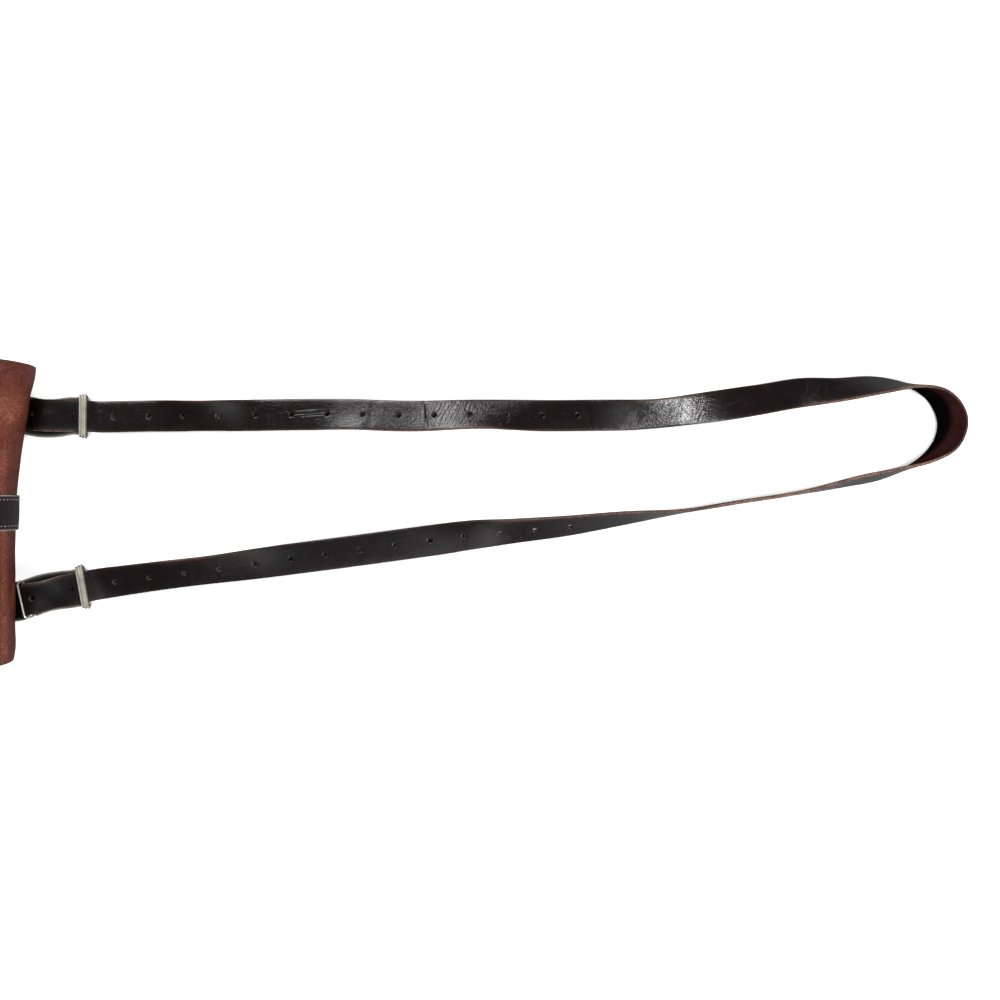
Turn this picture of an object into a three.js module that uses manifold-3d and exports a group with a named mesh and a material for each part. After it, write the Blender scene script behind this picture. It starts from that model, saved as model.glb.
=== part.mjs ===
import * as THREE from "three";
import { mergeVertices } from "three/addons/utils/BufferGeometryUtils.js";
import Module from "manifold-3d";

const wasm = await Module();
wasm.setup();

// All sizes are millimetres. +X runs from the bag's bottom to its fold and on along the strap.
// +Y runs across the bag, +Z up from the floor that the bag lies on with its back down.

// The clear gap left between neighbouring pieces.
const GAP = 0.35;

const BODY = {
  halfWidth: 119.5,
  bottomX: -98,
  leather: 2.2,
  cornerRadius: 28,
  restEndX: 8,
  strapSeatX: 28,
  strapSeatZ: 3.8,
};
const FOLD = { centreX: 54, centreZ: 42, outerRadius: 38.5, steps: 18 };
const FLAP = { endX: -45, endZ: 77.6, cornerRadius: 34 };
// How far the fold is pushed out at the bag's upper side, drawn in on its lower side
// and rounded off toward both of its edges. narrow is how far its upper edge comes in.
const SKEW = {
  upper: 17.2,
  upperY: 115,
  power: 1.45,
  lower: 0.6,
  lowerY: 30,
  edge: 1.4,
  edgeY: 105,
  narrow: 2.4,
};
const FRONT = { topX: 50, outerZ: 74, dome: 1.2, halfWidth: 117.5 };
const GUSSET = {
  halfWidth: 114.5,
  bottomX: -94.5,
  topX: 52,
  radius: 25,
  leather: 2,
  cave: 9,
  seam: 1.05,
};
const BAND = { halfWidth: 14.2, leather: 1.5, backX: 30, tongueX: -82, tongueZ: 77.4 };
const LOOP = { x: -66, halfWidth: 8, leather: 2.5, halfSpan: 17, tabEnd: 31 };
const CHAPE = { leather: 2.4, slack: 0.1, halfWidth: 16, notchRadius: 2.3, notchAt: 15.2, steps: 30 };
const STRAP = { width: 26, leather: 3, chamfer: 0.6, holeRadius: 2 };
// The strap's stations: closer at the fittings, short of fittingX, and in the loop, past loopX.
const STATIONS = { runStep: 15, bendStep: 5.5, fittingX: 150, loopX: 800 };
const KEEPER = { wire: 0.9, halfWidth: 14.7, halfHeight: 4.9, corner: 2.4 };
const SLIDE = { wall: 1.1, halfLength: 3.1, halfWidth: 16.8, ridge: 0.8, toothRadius: 1.3 };

// Where each end's holes and fittings sit, measured along the strap from its tip.
// inward is how far the keeper and the chape in it sit toward the bag's middle.
const UPPER_END = {
  keeperAt: 6,
  firstHole: 22,
  toothHole: 54,
  rowStart: 84,
  pitch: 29.9,
  inward: -0.2,
};
const LOWER_END = {
  keeperAt: 2.9,
  firstHole: 11.3,
  toothHole: 41.7,
  rowStart: 75,
  pitch: 29.35,
  inward: 0.3,
};
const ROW_COUNT = 14;
const TOOTH_TO_SLIDE = 6.6;

// The strap's lay, from the end at the upper fitting round the loop to the lower fitting.
// lift is how far its lowest edge is off the floor, roll how far its inner edge has turned up.
const STRAP_LAY = [
  { x: 78, y: 80.8, lift: 5.6, roll: 0 },
  { x: 84, y: 80.6, lift: 6.4, roll: 0 },
  { x: 91, y: 80.2, lift: 9.4, roll: 0 },
  { x: 97, y: 79.8, lift: 13.8, roll: 0 },
  { x: 103, y: 79.4, lift: 16.2, roll: 0 },
  { x: 113, y: 79.0, lift: 15.2, roll: 0 },
  { x: 124, y: 79.4, lift: 10.8, roll: 0 },
  { x: 134, y: 79.8, lift: 6.9, roll: 0 },
  { x: 144, y: 79.3, lift: 3.3, roll: 0 },
  { x: 158, y: 79.7, lift: 1.0, roll: 0 },
  { x: 190, y: 80.3, lift: 1.0, roll: 0 },
  { x: 231, y: 80.0, lift: 0.5, roll: -22 },
  { x: 280, y: 80.9, lift: 2.0, roll: 0 },
  { x: 318, y: 81.4, lift: 2.2, roll: 0 },
  { x: 355, y: 81.4, lift: 0.9, roll: 6 },
  { x: 405, y: 80.1, lift: 0.4, roll: 10 },
  { x: 465, y: 81.3, lift: 0.4, roll: 18 },
  { x: 518, y: 80.5, lift: 2.0, roll: 0 },
  { x: 560, y: 80.8, lift: 1.4, roll: -3 },
  { x: 606, y: 81.4, lift: 0.4, roll: -27 },
  { x: 645, y: 86.1, lift: 0.5, roll: -18 },
  { x: 694, y: 93.3, lift: 0.9, roll: 10 },
  { x: 730, y: 99.3, lift: 0.4, roll: 17 },
  { x: 761, y: 101.4, lift: 0.4, roll: 38 },
  { x: 792, y: 104.9, lift: 0.4, roll: 52 },
  { x: 822, y: 103.9, lift: 0.4, roll: 81 },
  { x: 842, y: 95.2, lift: 0.4, roll: 103 },
  { x: 853, y: 76.5, lift: 0.4, roll: 117 },
  { x: 848, y: 57.0, lift: 0.4, roll: 111 },
  { x: 832, y: 43.2, lift: 0.4, roll: 94 },
  { x: 801, y: 31.9, lift: 0.4, roll: 76 },
  { x: 770, y: 25.4, lift: 0.4, roll: 75 },
  { x: 724, y: 15.6, lift: 0.4, roll: 86 },
  { x: 677, y: 8.3, lift: 0.4, roll: 88 },
  { x: 630, y: 0.7, lift: 0.4, roll: 85 },
  { x: 582, y: -5.1, lift: 0.4, roll: 66 },
  { x: 535, y: -11.4, lift: 0.4, roll: 51 },
  { x: 488, y: -16.0, lift: 0.4, roll: 38 },
  { x: 456, y: -19.1, lift: 0.4, roll: 20 },
  { x: 424, y: -23.6, lift: 0.4, roll: 5 },
  { x: 355, y: -33.0, lift: 0.8, roll: 0 },
  { x: 300, y: -40.1, lift: 1.0, roll: 3 },
  { x: 245, y: -47.3, lift: 0.4, roll: 24 },
  { x: 200, y: -52.6, lift: 0.4, roll: 23 },
  { x: 164, y: -57.4, lift: 0.6, roll: 15 },
  { x: 146, y: -60.0, lift: 2.9, roll: 3 },
  { x: 134, y: -62.1, lift: 7.2, roll: 0 },
  { x: 127, y: -63.4, lift: 10.1, roll: 0 },
  { x: 123, y: -64.3, lift: 11.4, roll: 4 },
  { x: 118, y: -65.5, lift: 11.8, roll: 15 },
  { x: 110, y: -67.4, lift: 12.6, roll: 27 },
  { x: 101.5, y: -69.5, lift: 19.8, roll: 10 },
  { x: 97, y: -70.5, lift: 21.9, roll: 0 },
  { x: 93.5, y: -71.3, lift: 20.3, roll: 0 },
  { x: 90.4, y: -72.0, lift: 19.8, roll: 0 },
];

// The middle line of each chape: up from its root under the bag's back, then on to the slide.
const CHAPE_UPPER = {
  root: [
    { x: 30, y: 78.8, z: 1.75 },
    { x: 56, y: 78.8, z: 1.75 },
    { x: 74, y: 79.2, z: 2.8 },
  ],
  rise: [
    { x: 100, y: 77.8, z: 8.8 },
    { x: 112, y: 77.6, z: 9.8 },
  ],
};
const CHAPE_LOWER = {
  root: [
    { x: 30, y: -76.2, z: 1.75 },
    { x: 54, y: -76.2, z: 1.6 },
    { x: 63, y: -76.0, z: 2.2 },
    { x: 72, y: -75.6, z: 4.1 },
    { x: 80, y: -74.5, z: 8.3 },
  ],
  rise: [
    { x: 104, y: -66.9, z: 12.0 },
    { x: 114, y: -65.0, z: 7.8 },
  ],
};

const LEATHER_BROWN = { color: 0x78423a, roughness: 0.55, metalness: 0 };
const LEATHER_DARK = { color: 0x2a2322, roughness: 0.4, metalness: 0 };
const NICKEL = { color: 0xb9b5a4, roughness: 0.28, metalness: 1 };
const CHROME = { color: 0xd4d6d8, roughness: 0.12, metalness: 1 };

const UP = new THREE.Vector3(0, 0, 1);
const bag = new THREE.Group();
bag.name = "mail_bag";

function smoothstep(from, to, value) {
  return THREE.MathUtils.smoothstep(value, from, to);
}

// A closed geometry from shared points and triangles, turned so that its faces point out.
function closedGeometry(points, triangles) {
  const volume = triangles.reduce((sum, [a, b, c]) => {
    const edge = new THREE.Vector3().crossVectors(points[b], points[c]);
    return sum + points[a].dot(edge);
  }, 0);
  const index = triangles.flatMap(([a, b, c]) => (volume < 0 ? [a, c, b] : [a, b, c]));
  const geometry = new THREE.BufferGeometry().setFromPoints(points);
  return geometry.setIndex(index);
}

// A sheet of even thickness about a grid of points on its middle surface.
function thicken(grid, thickness) {
  const rows = grid.length;
  const columns = grid[0].length;
  const faces = [[], []];
  grid.forEach((row, i) =>
    row.forEach((point, j) => {
      const next = grid[Math.min(i + 1, rows - 1)][j];
      const along = next.clone().sub(grid[Math.max(i - 1, 0)][j]);
      const across = row[Math.min(j + 1, columns - 1)].clone().sub(row[Math.max(j - 1, 0)]);
      const normal = along.cross(across).setLength(thickness / 2);
      faces[0].push(point.clone().add(normal));
      faces[1].push(point.clone().sub(normal));
    }),
  );
  const at = (side, i, j) => (side * rows + i) * columns + j;
  const triangles = [];
  const quad = (a, b, c, d) => triangles.push([a, b, c], [a, c, d]);
  for (let i = 0; i + 1 < rows; i++) {
    for (let j = 0; j + 1 < columns; j++) {
      quad(at(0, i, j), at(0, i + 1, j), at(0, i + 1, j + 1), at(0, i, j + 1));
      quad(at(1, i, j), at(1, i, j + 1), at(1, i + 1, j + 1), at(1, i + 1, j));
    }
    const last = columns - 1;
    quad(at(0, i, 0), at(1, i, 0), at(1, i + 1, 0), at(0, i + 1, 0));
    quad(at(0, i, last), at(0, i + 1, last), at(1, i + 1, last), at(1, i, last));
  }
  for (let j = 0; j + 1 < columns; j++) {
    const end = rows - 1;
    quad(at(0, 0, j), at(0, 0, j + 1), at(1, 0, j + 1), at(1, 0, j));
    quad(at(0, end, j), at(1, end, j), at(1, end, j + 1), at(0, end, j + 1));
  }
  return closedGeometry(faces.flat(), triangles);
}

// A solid through rings of equally many points: a closed round of rings, or one with flat ends.
function loft(rings, closed) {
  const count = rings[0].length;
  const at = (ring, k) => (ring % rings.length) * count + (k % count);
  const triangles = [];
  const spans = closed ? rings.length : rings.length - 1;
  for (let i = 0; i < spans; i++) {
    for (let k = 0; k < count; k++) {
      triangles.push([at(i, k), at(i + 1, k), at(i + 1, k + 1)]);
      triangles.push([at(i, k), at(i + 1, k + 1), at(i, k + 1)]);
    }
  }
  for (let k = 1; !closed && k + 1 < count; k++) {
    triangles.push([at(0, 0), at(0, k), at(0, k + 1)]);
    const end = rings.length - 1;
    triangles.push([at(end, 0), at(end, k + 1), at(end, k)]);
  }
  return closedGeometry(rings.flat(), triangles);
}

function solidOf(geometry) {
  const bare = geometry.clone();
  bare.deleteAttribute("normal");
  bare.deleteAttribute("uv");
  const merged = mergeVertices(bare, 1e-4);
  const mesh = new wasm.Mesh({
    numProp: 3,
    vertProperties: new Float32Array(merged.attributes.position.array),
    triVerts: new Uint32Array(merged.index.array),
  });
  return new wasm.Manifold(mesh);
}

function geometryOf(solid) {
  const mesh = solid.getMesh();
  const position = new THREE.BufferAttribute(new Float32Array(mesh.vertProperties), 3);
  const geometry = new THREE.BufferGeometry().setAttribute("position", position);
  return geometry.setIndex(new THREE.BufferAttribute(new Uint32Array(mesh.triVerts), 1));
}

function addPiece(name, geometry, finish) {
  geometry.computeVertexNormals();
  const mesh = new THREE.Mesh(geometry, new THREE.MeshStandardMaterial(finish));
  mesh.name = name;
  bag.add(mesh);
}

// Even parameters from -1 to 1 across a sheet.
function acrossSteps(count) {
  return Array.from({ length: count }, (_, j) => (2 * j) / (count - 1) - 1);
}

// Half the width of a sheet near an end with rounded corners, at a distance from that end.
function roundedHalf(half, radius, fromEnd) {
  const inset = Math.max(radius - fromEnd, 0);
  return half - radius + Math.sqrt(radius * radius - inset * inset);
}

// Where the back's middle surface runs: flat to rest on, then up on the straps sewn under it.
function backZ(x) {
  const rise = smoothstep(BODY.restEndX, BODY.strapSeatX, x);
  return BODY.leather / 2 + BODY.strapSeatZ * rise;
}

function foldSkew(y) {
  const out = SKEW.upper * Math.pow(Math.max(y, 0) / SKEW.upperY, SKEW.power);
  const nearEdge = Math.max(Math.abs(y) - SKEW.edgeY, 0) / (BODY.halfWidth - SKEW.edgeY);
  return out - SKEW.lower * smoothstep(0, SKEW.lowerY, -y) - SKEW.edge * nearEdge * nearEdge;
}

// The profile of the back, fold and flap in x and z, moved out from the middle surface by offset.
// skew is the share of the fold's sideways skew that each point takes.
function bodyProfile(backXs, flapXs, offset) {
  const radius = FOLD.outerRadius - BODY.leather / 2 + offset;
  const rows = backXs.map((x) => ({ x, z: backZ(x) - offset, skew: 0 }));
  for (let k = 0; k <= FOLD.steps; k++) {
    const angle = (k / FOLD.steps - 0.5) * Math.PI;
    const x = FOLD.centreX + radius * Math.cos(angle);
    const z = FOLD.centreZ + radius * Math.sin(angle);
    rows.push({ x, z, skew: smoothstep(-75, -20, THREE.MathUtils.radToDeg(angle)) });
  }
  const top = FOLD.centreZ + radius;
  flapXs.forEach((x) => {
    const share = (FOLD.centreX - x) / (FOLD.centreX - FLAP.endX);
    const drop = (FOLD.centreZ + radius - offset - FLAP.endZ) * share * share;
    rows.push({ x, z: top - drop, skew: 1 - smoothstep(0, 1, share * 1.3) });
  });
  return rows;
}

// The grid of a sheet that follows a body profile, with a half width for each of its rows
// and a share of it, from -1 to 1, for each of its columns.
function bodyGrid(profile, halfWidths, sides) {
  return profile.map((row, i) =>
    sides.map((side) => {
      const drawn = SKEW.narrow * row.skew * Math.max(side, 0) ** 2;
      const y = side * halfWidths[i] - (halfWidths[i] / BODY.halfWidth) * drawn;
      return new THREE.Vector3(row.x + row.skew * foldSkew(y), y, row.z);
    }),
  );
}

function makeBackFlap() {
  const corner = BODY.cornerRadius;
  const cornerSteps = [0, 0.07, 0.25, 0.55, 1];
  const backXs = cornerSteps.map((share) => BODY.bottomX + share * corner);
  backXs.push(-35, BODY.restEndX, 13, 18, 23, BODY.strapSeatX, 41);
  const flapCorner = FLAP.cornerRadius;
  const flapXs = [40, 25, 8, ...cornerSteps.map((s) => FLAP.endX + s * flapCorner).reverse()];
  const profile = bodyProfile(backXs, flapXs, 0);
  const halfWidths = profile.map((row, i) => {
    if (i < backXs.length) return roundedHalf(BODY.halfWidth, corner, row.x - BODY.bottomX);
    if (row.z < FOLD.centreZ || row.x > 40) return BODY.halfWidth;
    return roundedHalf(BODY.halfWidth, flapCorner, row.x - FLAP.endX);
  });
  const half = [0.2, 0.45, 0.7, 0.89, 0.97, 1];
  const sides = [...half.map((side) => -side).reverse(), 0, ...half];
  return thicken(bodyGrid(profile, halfWidths, sides), BODY.leather);
}

function makeFrontPanel() {
  const corner = BODY.cornerRadius - 1;
  const xs = [0, 0.07, 0.25, 0.55, 1].map((share) => BODY.bottomX + share * corner);
  xs.push(-40, -10, 20, FRONT.topX);
  const grid = xs.map((x) => {
    const half = roundedHalf(FRONT.halfWidth, corner, x - BODY.bottomX);
    const bulge = Math.sin((Math.PI * (x - BODY.bottomX)) / (FRONT.topX - BODY.bottomX));
    return acrossSteps(9).map((side) => {
      const dome = FRONT.dome * bulge * (1 - side * side);
      return new THREE.Vector3(x, side * half, FRONT.outerZ - BODY.leather / 2 + dome);
    });
  });
  return thicken(grid, BODY.leather);
}

// The gusset's line round the bag in plan: one side, the bottom and the other side.
function gussetLine() {
  const { halfWidth, bottomX, topX, radius } = GUSSET;
  const line = new THREE.Path();
  line.moveTo(topX, halfWidth);
  line.lineTo(bottomX + radius, halfWidth);
  line.absarc(bottomX + radius, halfWidth - radius, radius, Math.PI / 2, Math.PI, false);
  line.lineTo(bottomX, radius - halfWidth);
  line.absarc(bottomX + radius, radius - halfWidth, radius, Math.PI, 1.5 * Math.PI, false);
  line.lineTo(topX, -halfWidth);
  return line.getSpacedPoints(48);
}

function makeGusset() {
  const high = FRONT.outerZ - BODY.leather - GUSSET.seam;
  const cornerTop = GUSSET.bottomX + GUSSET.radius;
  const grid = gussetLine().map(({ x, y }) => {
    const low = backZ(x) + BODY.leather / 2 + GUSSET.seam;
    const cave = GUSSET.cave * smoothstep(cornerTop, cornerTop + 50, x);
    return [0, 0.25, 0.5, 0.75, 1].map((share) => {
      const inward = cave * Math.sin(Math.PI * share) * Math.sign(y);
      return new THREE.Vector3(x, y - inward, low + share * (high - low));
    });
  });
  return thicken(grid, GUSSET.leather);
}

function makeFlapBand() {
  const offset = (BODY.leather + BAND.leather) / 2 + 1.2 * GAP;
  const profile = bodyProfile([BAND.backX, 42], [40, 25, 8, -10, -28, FLAP.endX + 2], offset);
  const endZ = profile[profile.length - 1].z;
  [0.3, 0.6, 1].forEach((share) => {
    const x = FLAP.endX - 12 * share;
    profile.push({ x, z: THREE.MathUtils.lerp(endZ, BAND.tongueZ, smoothstep(0, 1, share)), skew: 0 });
  });
  [-73, -78, -81, BAND.tongueX].forEach((x) => profile.push({ x, z: BAND.tongueZ, skew: 0 }));
  const halfWidths = profile.map((row) => roundedHalf(BAND.halfWidth, 10, row.x - BAND.tongueX));
  return thicken(bodyGrid(profile, halfWidths, acrossSteps(5)), BAND.leather);
}

// A strip across the front: two tabs flat on the leather and a bridge over the tongue.
function makeTongueLoop() {
  const seat = FRONT.outerZ + FRONT.dome + GAP + LOOP.leather / 2;
  const bridge = BAND.tongueZ + BAND.leather / 2 + GAP + LOOP.leather / 2;
  const ys = [LOOP.tabEnd, 26, 22, 19.5, LOOP.halfSpan, 9, 0];
  const both = [...ys, ...ys.slice(0, -1).reverse().map((y) => -y)];
  const grid = both.map((y) => {
    const rise = 1 - smoothstep(LOOP.halfSpan - 1, LOOP.halfSpan + 6, Math.abs(y));
    const z = THREE.MathUtils.lerp(seat, bridge, rise);
    return acrossSteps(3).map((side) => new THREE.Vector3(LOOP.x + side * LOOP.halfWidth, y, z));
  });
  return thicken(grid, LOOP.leather);
}

// The strap's middle line and its frame: along, across (to the left of along) and grain normal.
function strapCourse() {
  const centres = STRAP_LAY.map(({ x, y, lift, roll }) => {
    const turn = THREE.MathUtils.degToRad(roll);
    const half = STRAP.width * Math.abs(Math.sin(turn)) + STRAP.leather * Math.abs(Math.cos(turn));
    return new THREE.Vector3(x, y, lift + half / 2);
  });
  const line = new THREE.CatmullRomCurve3(centres);
  line.arcLengthDivisions = 3000;
  const rolls = STRAP_LAY.map(({ roll }) => new THREE.Vector3(roll, 0, 0));
  const rollLine = new THREE.CatmullRomCurve3(rolls, false, "catmullrom");
  const length = line.getLength();
  const frameAt = (distance) => {
    const t = line.getUtoTmapping(distance / length);
    const along = line.getTangent(t);
    const turn = THREE.MathUtils.degToRad(rollLine.getPoint(t).x);
    const across = new THREE.Vector3().crossVectors(UP, along).normalize();
    across.applyAxisAngle(along, -turn);
    const normal = new THREE.Vector3().crossVectors(along, across);
    return { centre: line.getPoint(t), along, across, normal };
  };
  return { length, frameAt };
}

function placed(frame) {
  return new THREE.Matrix4()
    .makeBasis(frame.along, frame.across, frame.normal)
    .setPosition(frame.centre);
}

// A punch for one hole, standing square to the leather.
function punch(frame, radius, depth) {
  const cylinder = new THREE.CylinderGeometry(radius, radius, depth, 8);
  return solidOf(cylinder.rotateX(Math.PI / 2).applyMatrix4(placed(frame)));
}

// The holes of one end, as distances along the strap from that end's tip.
function holeDistances(end) {
  const row = Array.from({ length: ROW_COUNT }, (_, k) => end.rowStart + k * end.pitch);
  return [end.firstHole, end.toothHole, ...row];
}

// Distances along the strap, closer together where it bends.
function strapStations(course) {
  const stations = [0];
  let distance = 0;
  while (distance < course.length) {
    const { x } = course.frameAt(distance).centre;
    const bending = x < STATIONS.fittingX || x > STATIONS.loopX;
    distance = Math.min(distance + (bending ? STATIONS.bendStep : STATIONS.runStep), course.length);
    stations.push(distance);
  }
  return stations;
}

function makeStrap(course) {
  const w = STRAP.width / 2;
  const t = STRAP.leather / 2;
  const c = STRAP.chamfer;
  const section = [
    [-w, -t + c],
    [-w + c, -t],
    [w - c, -t],
    [w, -t + c],
    [w, t - c],
    [w - c, t],
    [-w + c, t],
    [-w, t - c],
  ];
  const rings = strapStations(course).map((distance) => {
    const frame = course.frameAt(distance);
    return section.map(([a, b]) =>
      frame.centre.clone().addScaledVector(frame.across, a).addScaledVector(frame.normal, b),
    );
  });
  const upper = holeDistances(UPPER_END);
  const lower = holeDistances(LOWER_END).map((distance) => course.length - distance);
  const punches = [...upper, ...lower].map((distance) =>
    punch(course.frameAt(distance), STRAP.holeRadius, 10),
  );
  const body = solidOf(loft(rings, false));
  return geometryOf(punches.reduce((cut, tool) => cut.subtract(tool), body));
}

// A chape lies close under the strap at the keeper and in the slide, and sags between them.
// The keeper sits in two notches in its edges and a groove under it, and the slide's tooth in a hole.
function makeChape(rows, keeperFrame, slideFrame, toothFrame) {
  const under = (frame, forward) =>
    frame.centre
      .clone()
      .addScaledVector(frame.normal, -CHAPE.slack - (CHAPE.leather + GAP) / 2)
      .addScaledVector(frame.along, forward);
  const point = ({ x, y, z }) => new THREE.Vector3(x, y, z);
  const line = new THREE.CatmullRomCurve3([
    ...rows.root.map(point),
    under(keeperFrame, -3),
    under(keeperFrame, 1.2),
    ...rows.rise.map(point),
    under(slideFrame, -7),
    under(slideFrame, 2.4),
  ]);
  const grid = line.getSpacedPoints(CHAPE.steps).map((centre, i) => {
    const along = line.getTangentAt(i / CHAPE.steps);
    const across = new THREE.Vector3().crossVectors(UP, along).normalize();
    const { halfWidth } = CHAPE;
    return acrossSteps(3).map((side) => centre.clone().addScaledVector(across, side * halfWidth));
  });
  const notches = [-1, 1].map((side) => {
    const centre = keeperFrame.centre.clone();
    centre.addScaledVector(keeperFrame.across, side * CHAPE.notchAt);
    return punch({ ...keeperFrame, centre }, CHAPE.notchRadius, 12);
  });
  const groove = solidOf(makeKeeper(keeperFrame, KEEPER.wire + GAP));
  const holes = [...notches, groove, punch(toothFrame, STRAP.holeRadius, 14)];
  const body = solidOf(thicken(grid, CHAPE.leather));
  return geometryOf(holes.reduce((cut, tool) => cut.subtract(tool), body));
}

// A rounded rectangle in the y, z plane, as points with their outward directions.
function roundedFrame(halfWidth, halfHeight, radius, cornerSteps) {
  const rows = [];
  const corners = [
    [1, 1],
    [-1, 1],
    [-1, -1],
    [1, -1],
  ];
  corners.forEach(([sy, sz], quarter) => {
    for (let k = 0; k <= cornerSteps; k++) {
      const angle = ((quarter + k / cornerSteps) * Math.PI) / 2;
      const out = new THREE.Vector3(0, Math.cos(angle), Math.sin(angle));
      const centre = new THREE.Vector3(0, sy * (halfWidth - radius), sz * (halfHeight - radius));
      rows.push({ point: centre.addScaledVector(out, radius), out });
    }
  });
  return rows;
}

// A section of [along, outward] pairs carried round a rounded rectangle.
function ringOf(frameRows, section) {
  const rings = frameRows.map(({ point, out }) =>
    section.map(([a, b]) => point.clone().addScaledVector(out, b).add(new THREE.Vector3(a, 0, 0))),
  );
  return loft(rings, true);
}

function makeKeeper(frame, radius) {
  const wire = Array.from({ length: 8 }, (_, k) => {
    const angle = (k * Math.PI) / 4;
    return [radius * Math.cos(angle), radius * Math.sin(angle)];
  });
  const rows = roundedFrame(KEEPER.halfWidth, KEEPER.halfHeight, KEEPER.corner, 4);
  return ringOf(rows, wire).applyMatrix4(placed(frame));
}

// A sleeve with two ridges round it, and a tooth on a tongue of its underside.
function makeSlide(frame, toothOffset) {
  const { wall, halfLength, halfWidth, ridge } = SLIDE;
  const inner = STRAP.leather + GAP * 1.5;
  const section = [
    [-halfLength, 0],
    [halfLength, 0],
    [halfLength, wall * 0.6],
    [halfLength * 0.75, wall + ridge * 0.6],
    [halfLength * 0.45, wall + ridge],
    [halfLength * 0.15, wall * 0.8],
    [-halfLength * 0.1, wall * 0.8],
    [-halfLength * 0.4, wall + ridge],
    [-halfLength * 0.8, wall + ridge * 0.5],
    [-halfLength, wall * 0.6],
  ];
  const rows = roundedFrame(halfWidth - wall * 0.4, inner, 0.8, 3);
  const sleeve = ringOf(rows, section);
  const reach = toothOffset + 1.6;
  const tongue = new THREE.BoxGeometry(reach, 8, wall);
  tongue.translate(-reach / 2, 0, -inner - wall / 2 - 0.35);
  const toothHeight = 2 * inner - 1.6;
  const tooth = new THREE.CylinderGeometry(SLIDE.toothRadius, SLIDE.toothRadius, toothHeight, 10);
  tooth.rotateX(Math.PI / 2).translate(-toothOffset, 0, toothHeight / 2 - inner - 0.4);
  const joined = solidOf(sleeve).add(solidOf(tongue)).add(solidOf(tooth));
  return geometryOf(joined).applyMatrix4(placed(frame));
}

// The frame of a fitting round both layers, half way between the strap and the chape under it.
function fittingFrame(frame, turned, sideways) {
  if (turned) {
    frame.along.negate();
    frame.across.negate();
  }
  frame.centre.addScaledVector(frame.normal, -(STRAP.leather + GAP) / 2);
  frame.centre.addScaledVector(frame.across, sideways);
  return frame;
}

const course = strapCourse();
const ends = [
  { name: "upper", end: UPPER_END, from: (d) => d, turned: false, rows: CHAPE_UPPER },
  { name: "lower", end: LOWER_END, from: (d) => course.length - d, turned: true, rows: CHAPE_LOWER },
];

addPiece("back_flap", makeBackFlap(), LEATHER_BROWN);
addPiece("front_panel", makeFrontPanel(), LEATHER_BROWN);
addPiece("gusset", makeGusset(), LEATHER_BROWN);
addPiece("flap_band", makeFlapBand(), LEATHER_DARK);
addPiece("tongue_loop", makeTongueLoop(), LEATHER_DARK);
ends.forEach(({ name, end, from, turned, rows }) => {
  const toothFrame = course.frameAt(from(end.toothHole));
  const keeperFrame = fittingFrame(course.frameAt(from(end.keeperAt)), turned, end.inward);
  const slideFrame = fittingFrame(course.frameAt(from(end.toothHole + TOOTH_TO_SLIDE)), turned, 0);
  addPiece(`chape_${name}`, makeChape(rows, keeperFrame, slideFrame, toothFrame), LEATHER_DARK);
  addPiece(`keeper_${name}`, makeKeeper(keeperFrame, KEEPER.wire), CHROME);
  addPiece(`slide_${name}`, makeSlide(slideFrame, TOOTH_TO_SLIDE), NICKEL);
});
addPiece("shoulder_strap", makeStrap(course), LEATHER_DARK);

export default bag;
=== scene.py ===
"""Looks of a leather mail bag that lies on its back with its long strap laid out in a loop.

Sizes are millimetres in the part's own frame: X runs along the strap away from the bag, Y across
it and Z up from the surface that the bag rests on. Meshes are written in metres.
"""

import logging
from dataclasses import dataclass, field, replace
from enum import Enum

import bpy
import numpy as np
from mathutils import Matrix


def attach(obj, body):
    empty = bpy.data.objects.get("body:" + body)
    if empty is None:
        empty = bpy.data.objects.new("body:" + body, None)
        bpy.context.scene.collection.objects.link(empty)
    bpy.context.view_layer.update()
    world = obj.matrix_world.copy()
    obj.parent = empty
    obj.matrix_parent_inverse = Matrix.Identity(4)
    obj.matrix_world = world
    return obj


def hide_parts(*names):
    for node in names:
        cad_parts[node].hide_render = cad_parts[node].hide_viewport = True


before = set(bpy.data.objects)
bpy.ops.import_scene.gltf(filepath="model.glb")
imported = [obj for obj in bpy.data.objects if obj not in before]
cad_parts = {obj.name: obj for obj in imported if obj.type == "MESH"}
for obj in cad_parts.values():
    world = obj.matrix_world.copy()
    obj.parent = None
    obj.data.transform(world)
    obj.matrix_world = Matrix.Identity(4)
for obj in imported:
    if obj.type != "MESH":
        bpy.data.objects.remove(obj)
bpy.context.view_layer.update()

LOG = logging.getLogger("mail_bag")
MM = 0.001
GAP = 0.35
RIM_FULLNESS = 0.7
BORDER_REACH = 5.0
UP = np.array([0.0, 0.0, 1.0])
ROOT = "root"

Colour = tuple[float, float, float]
Vec3 = tuple[float, float, float]
Socket = bpy.types.NodeSocket
Piece = bpy.types.Object

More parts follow.
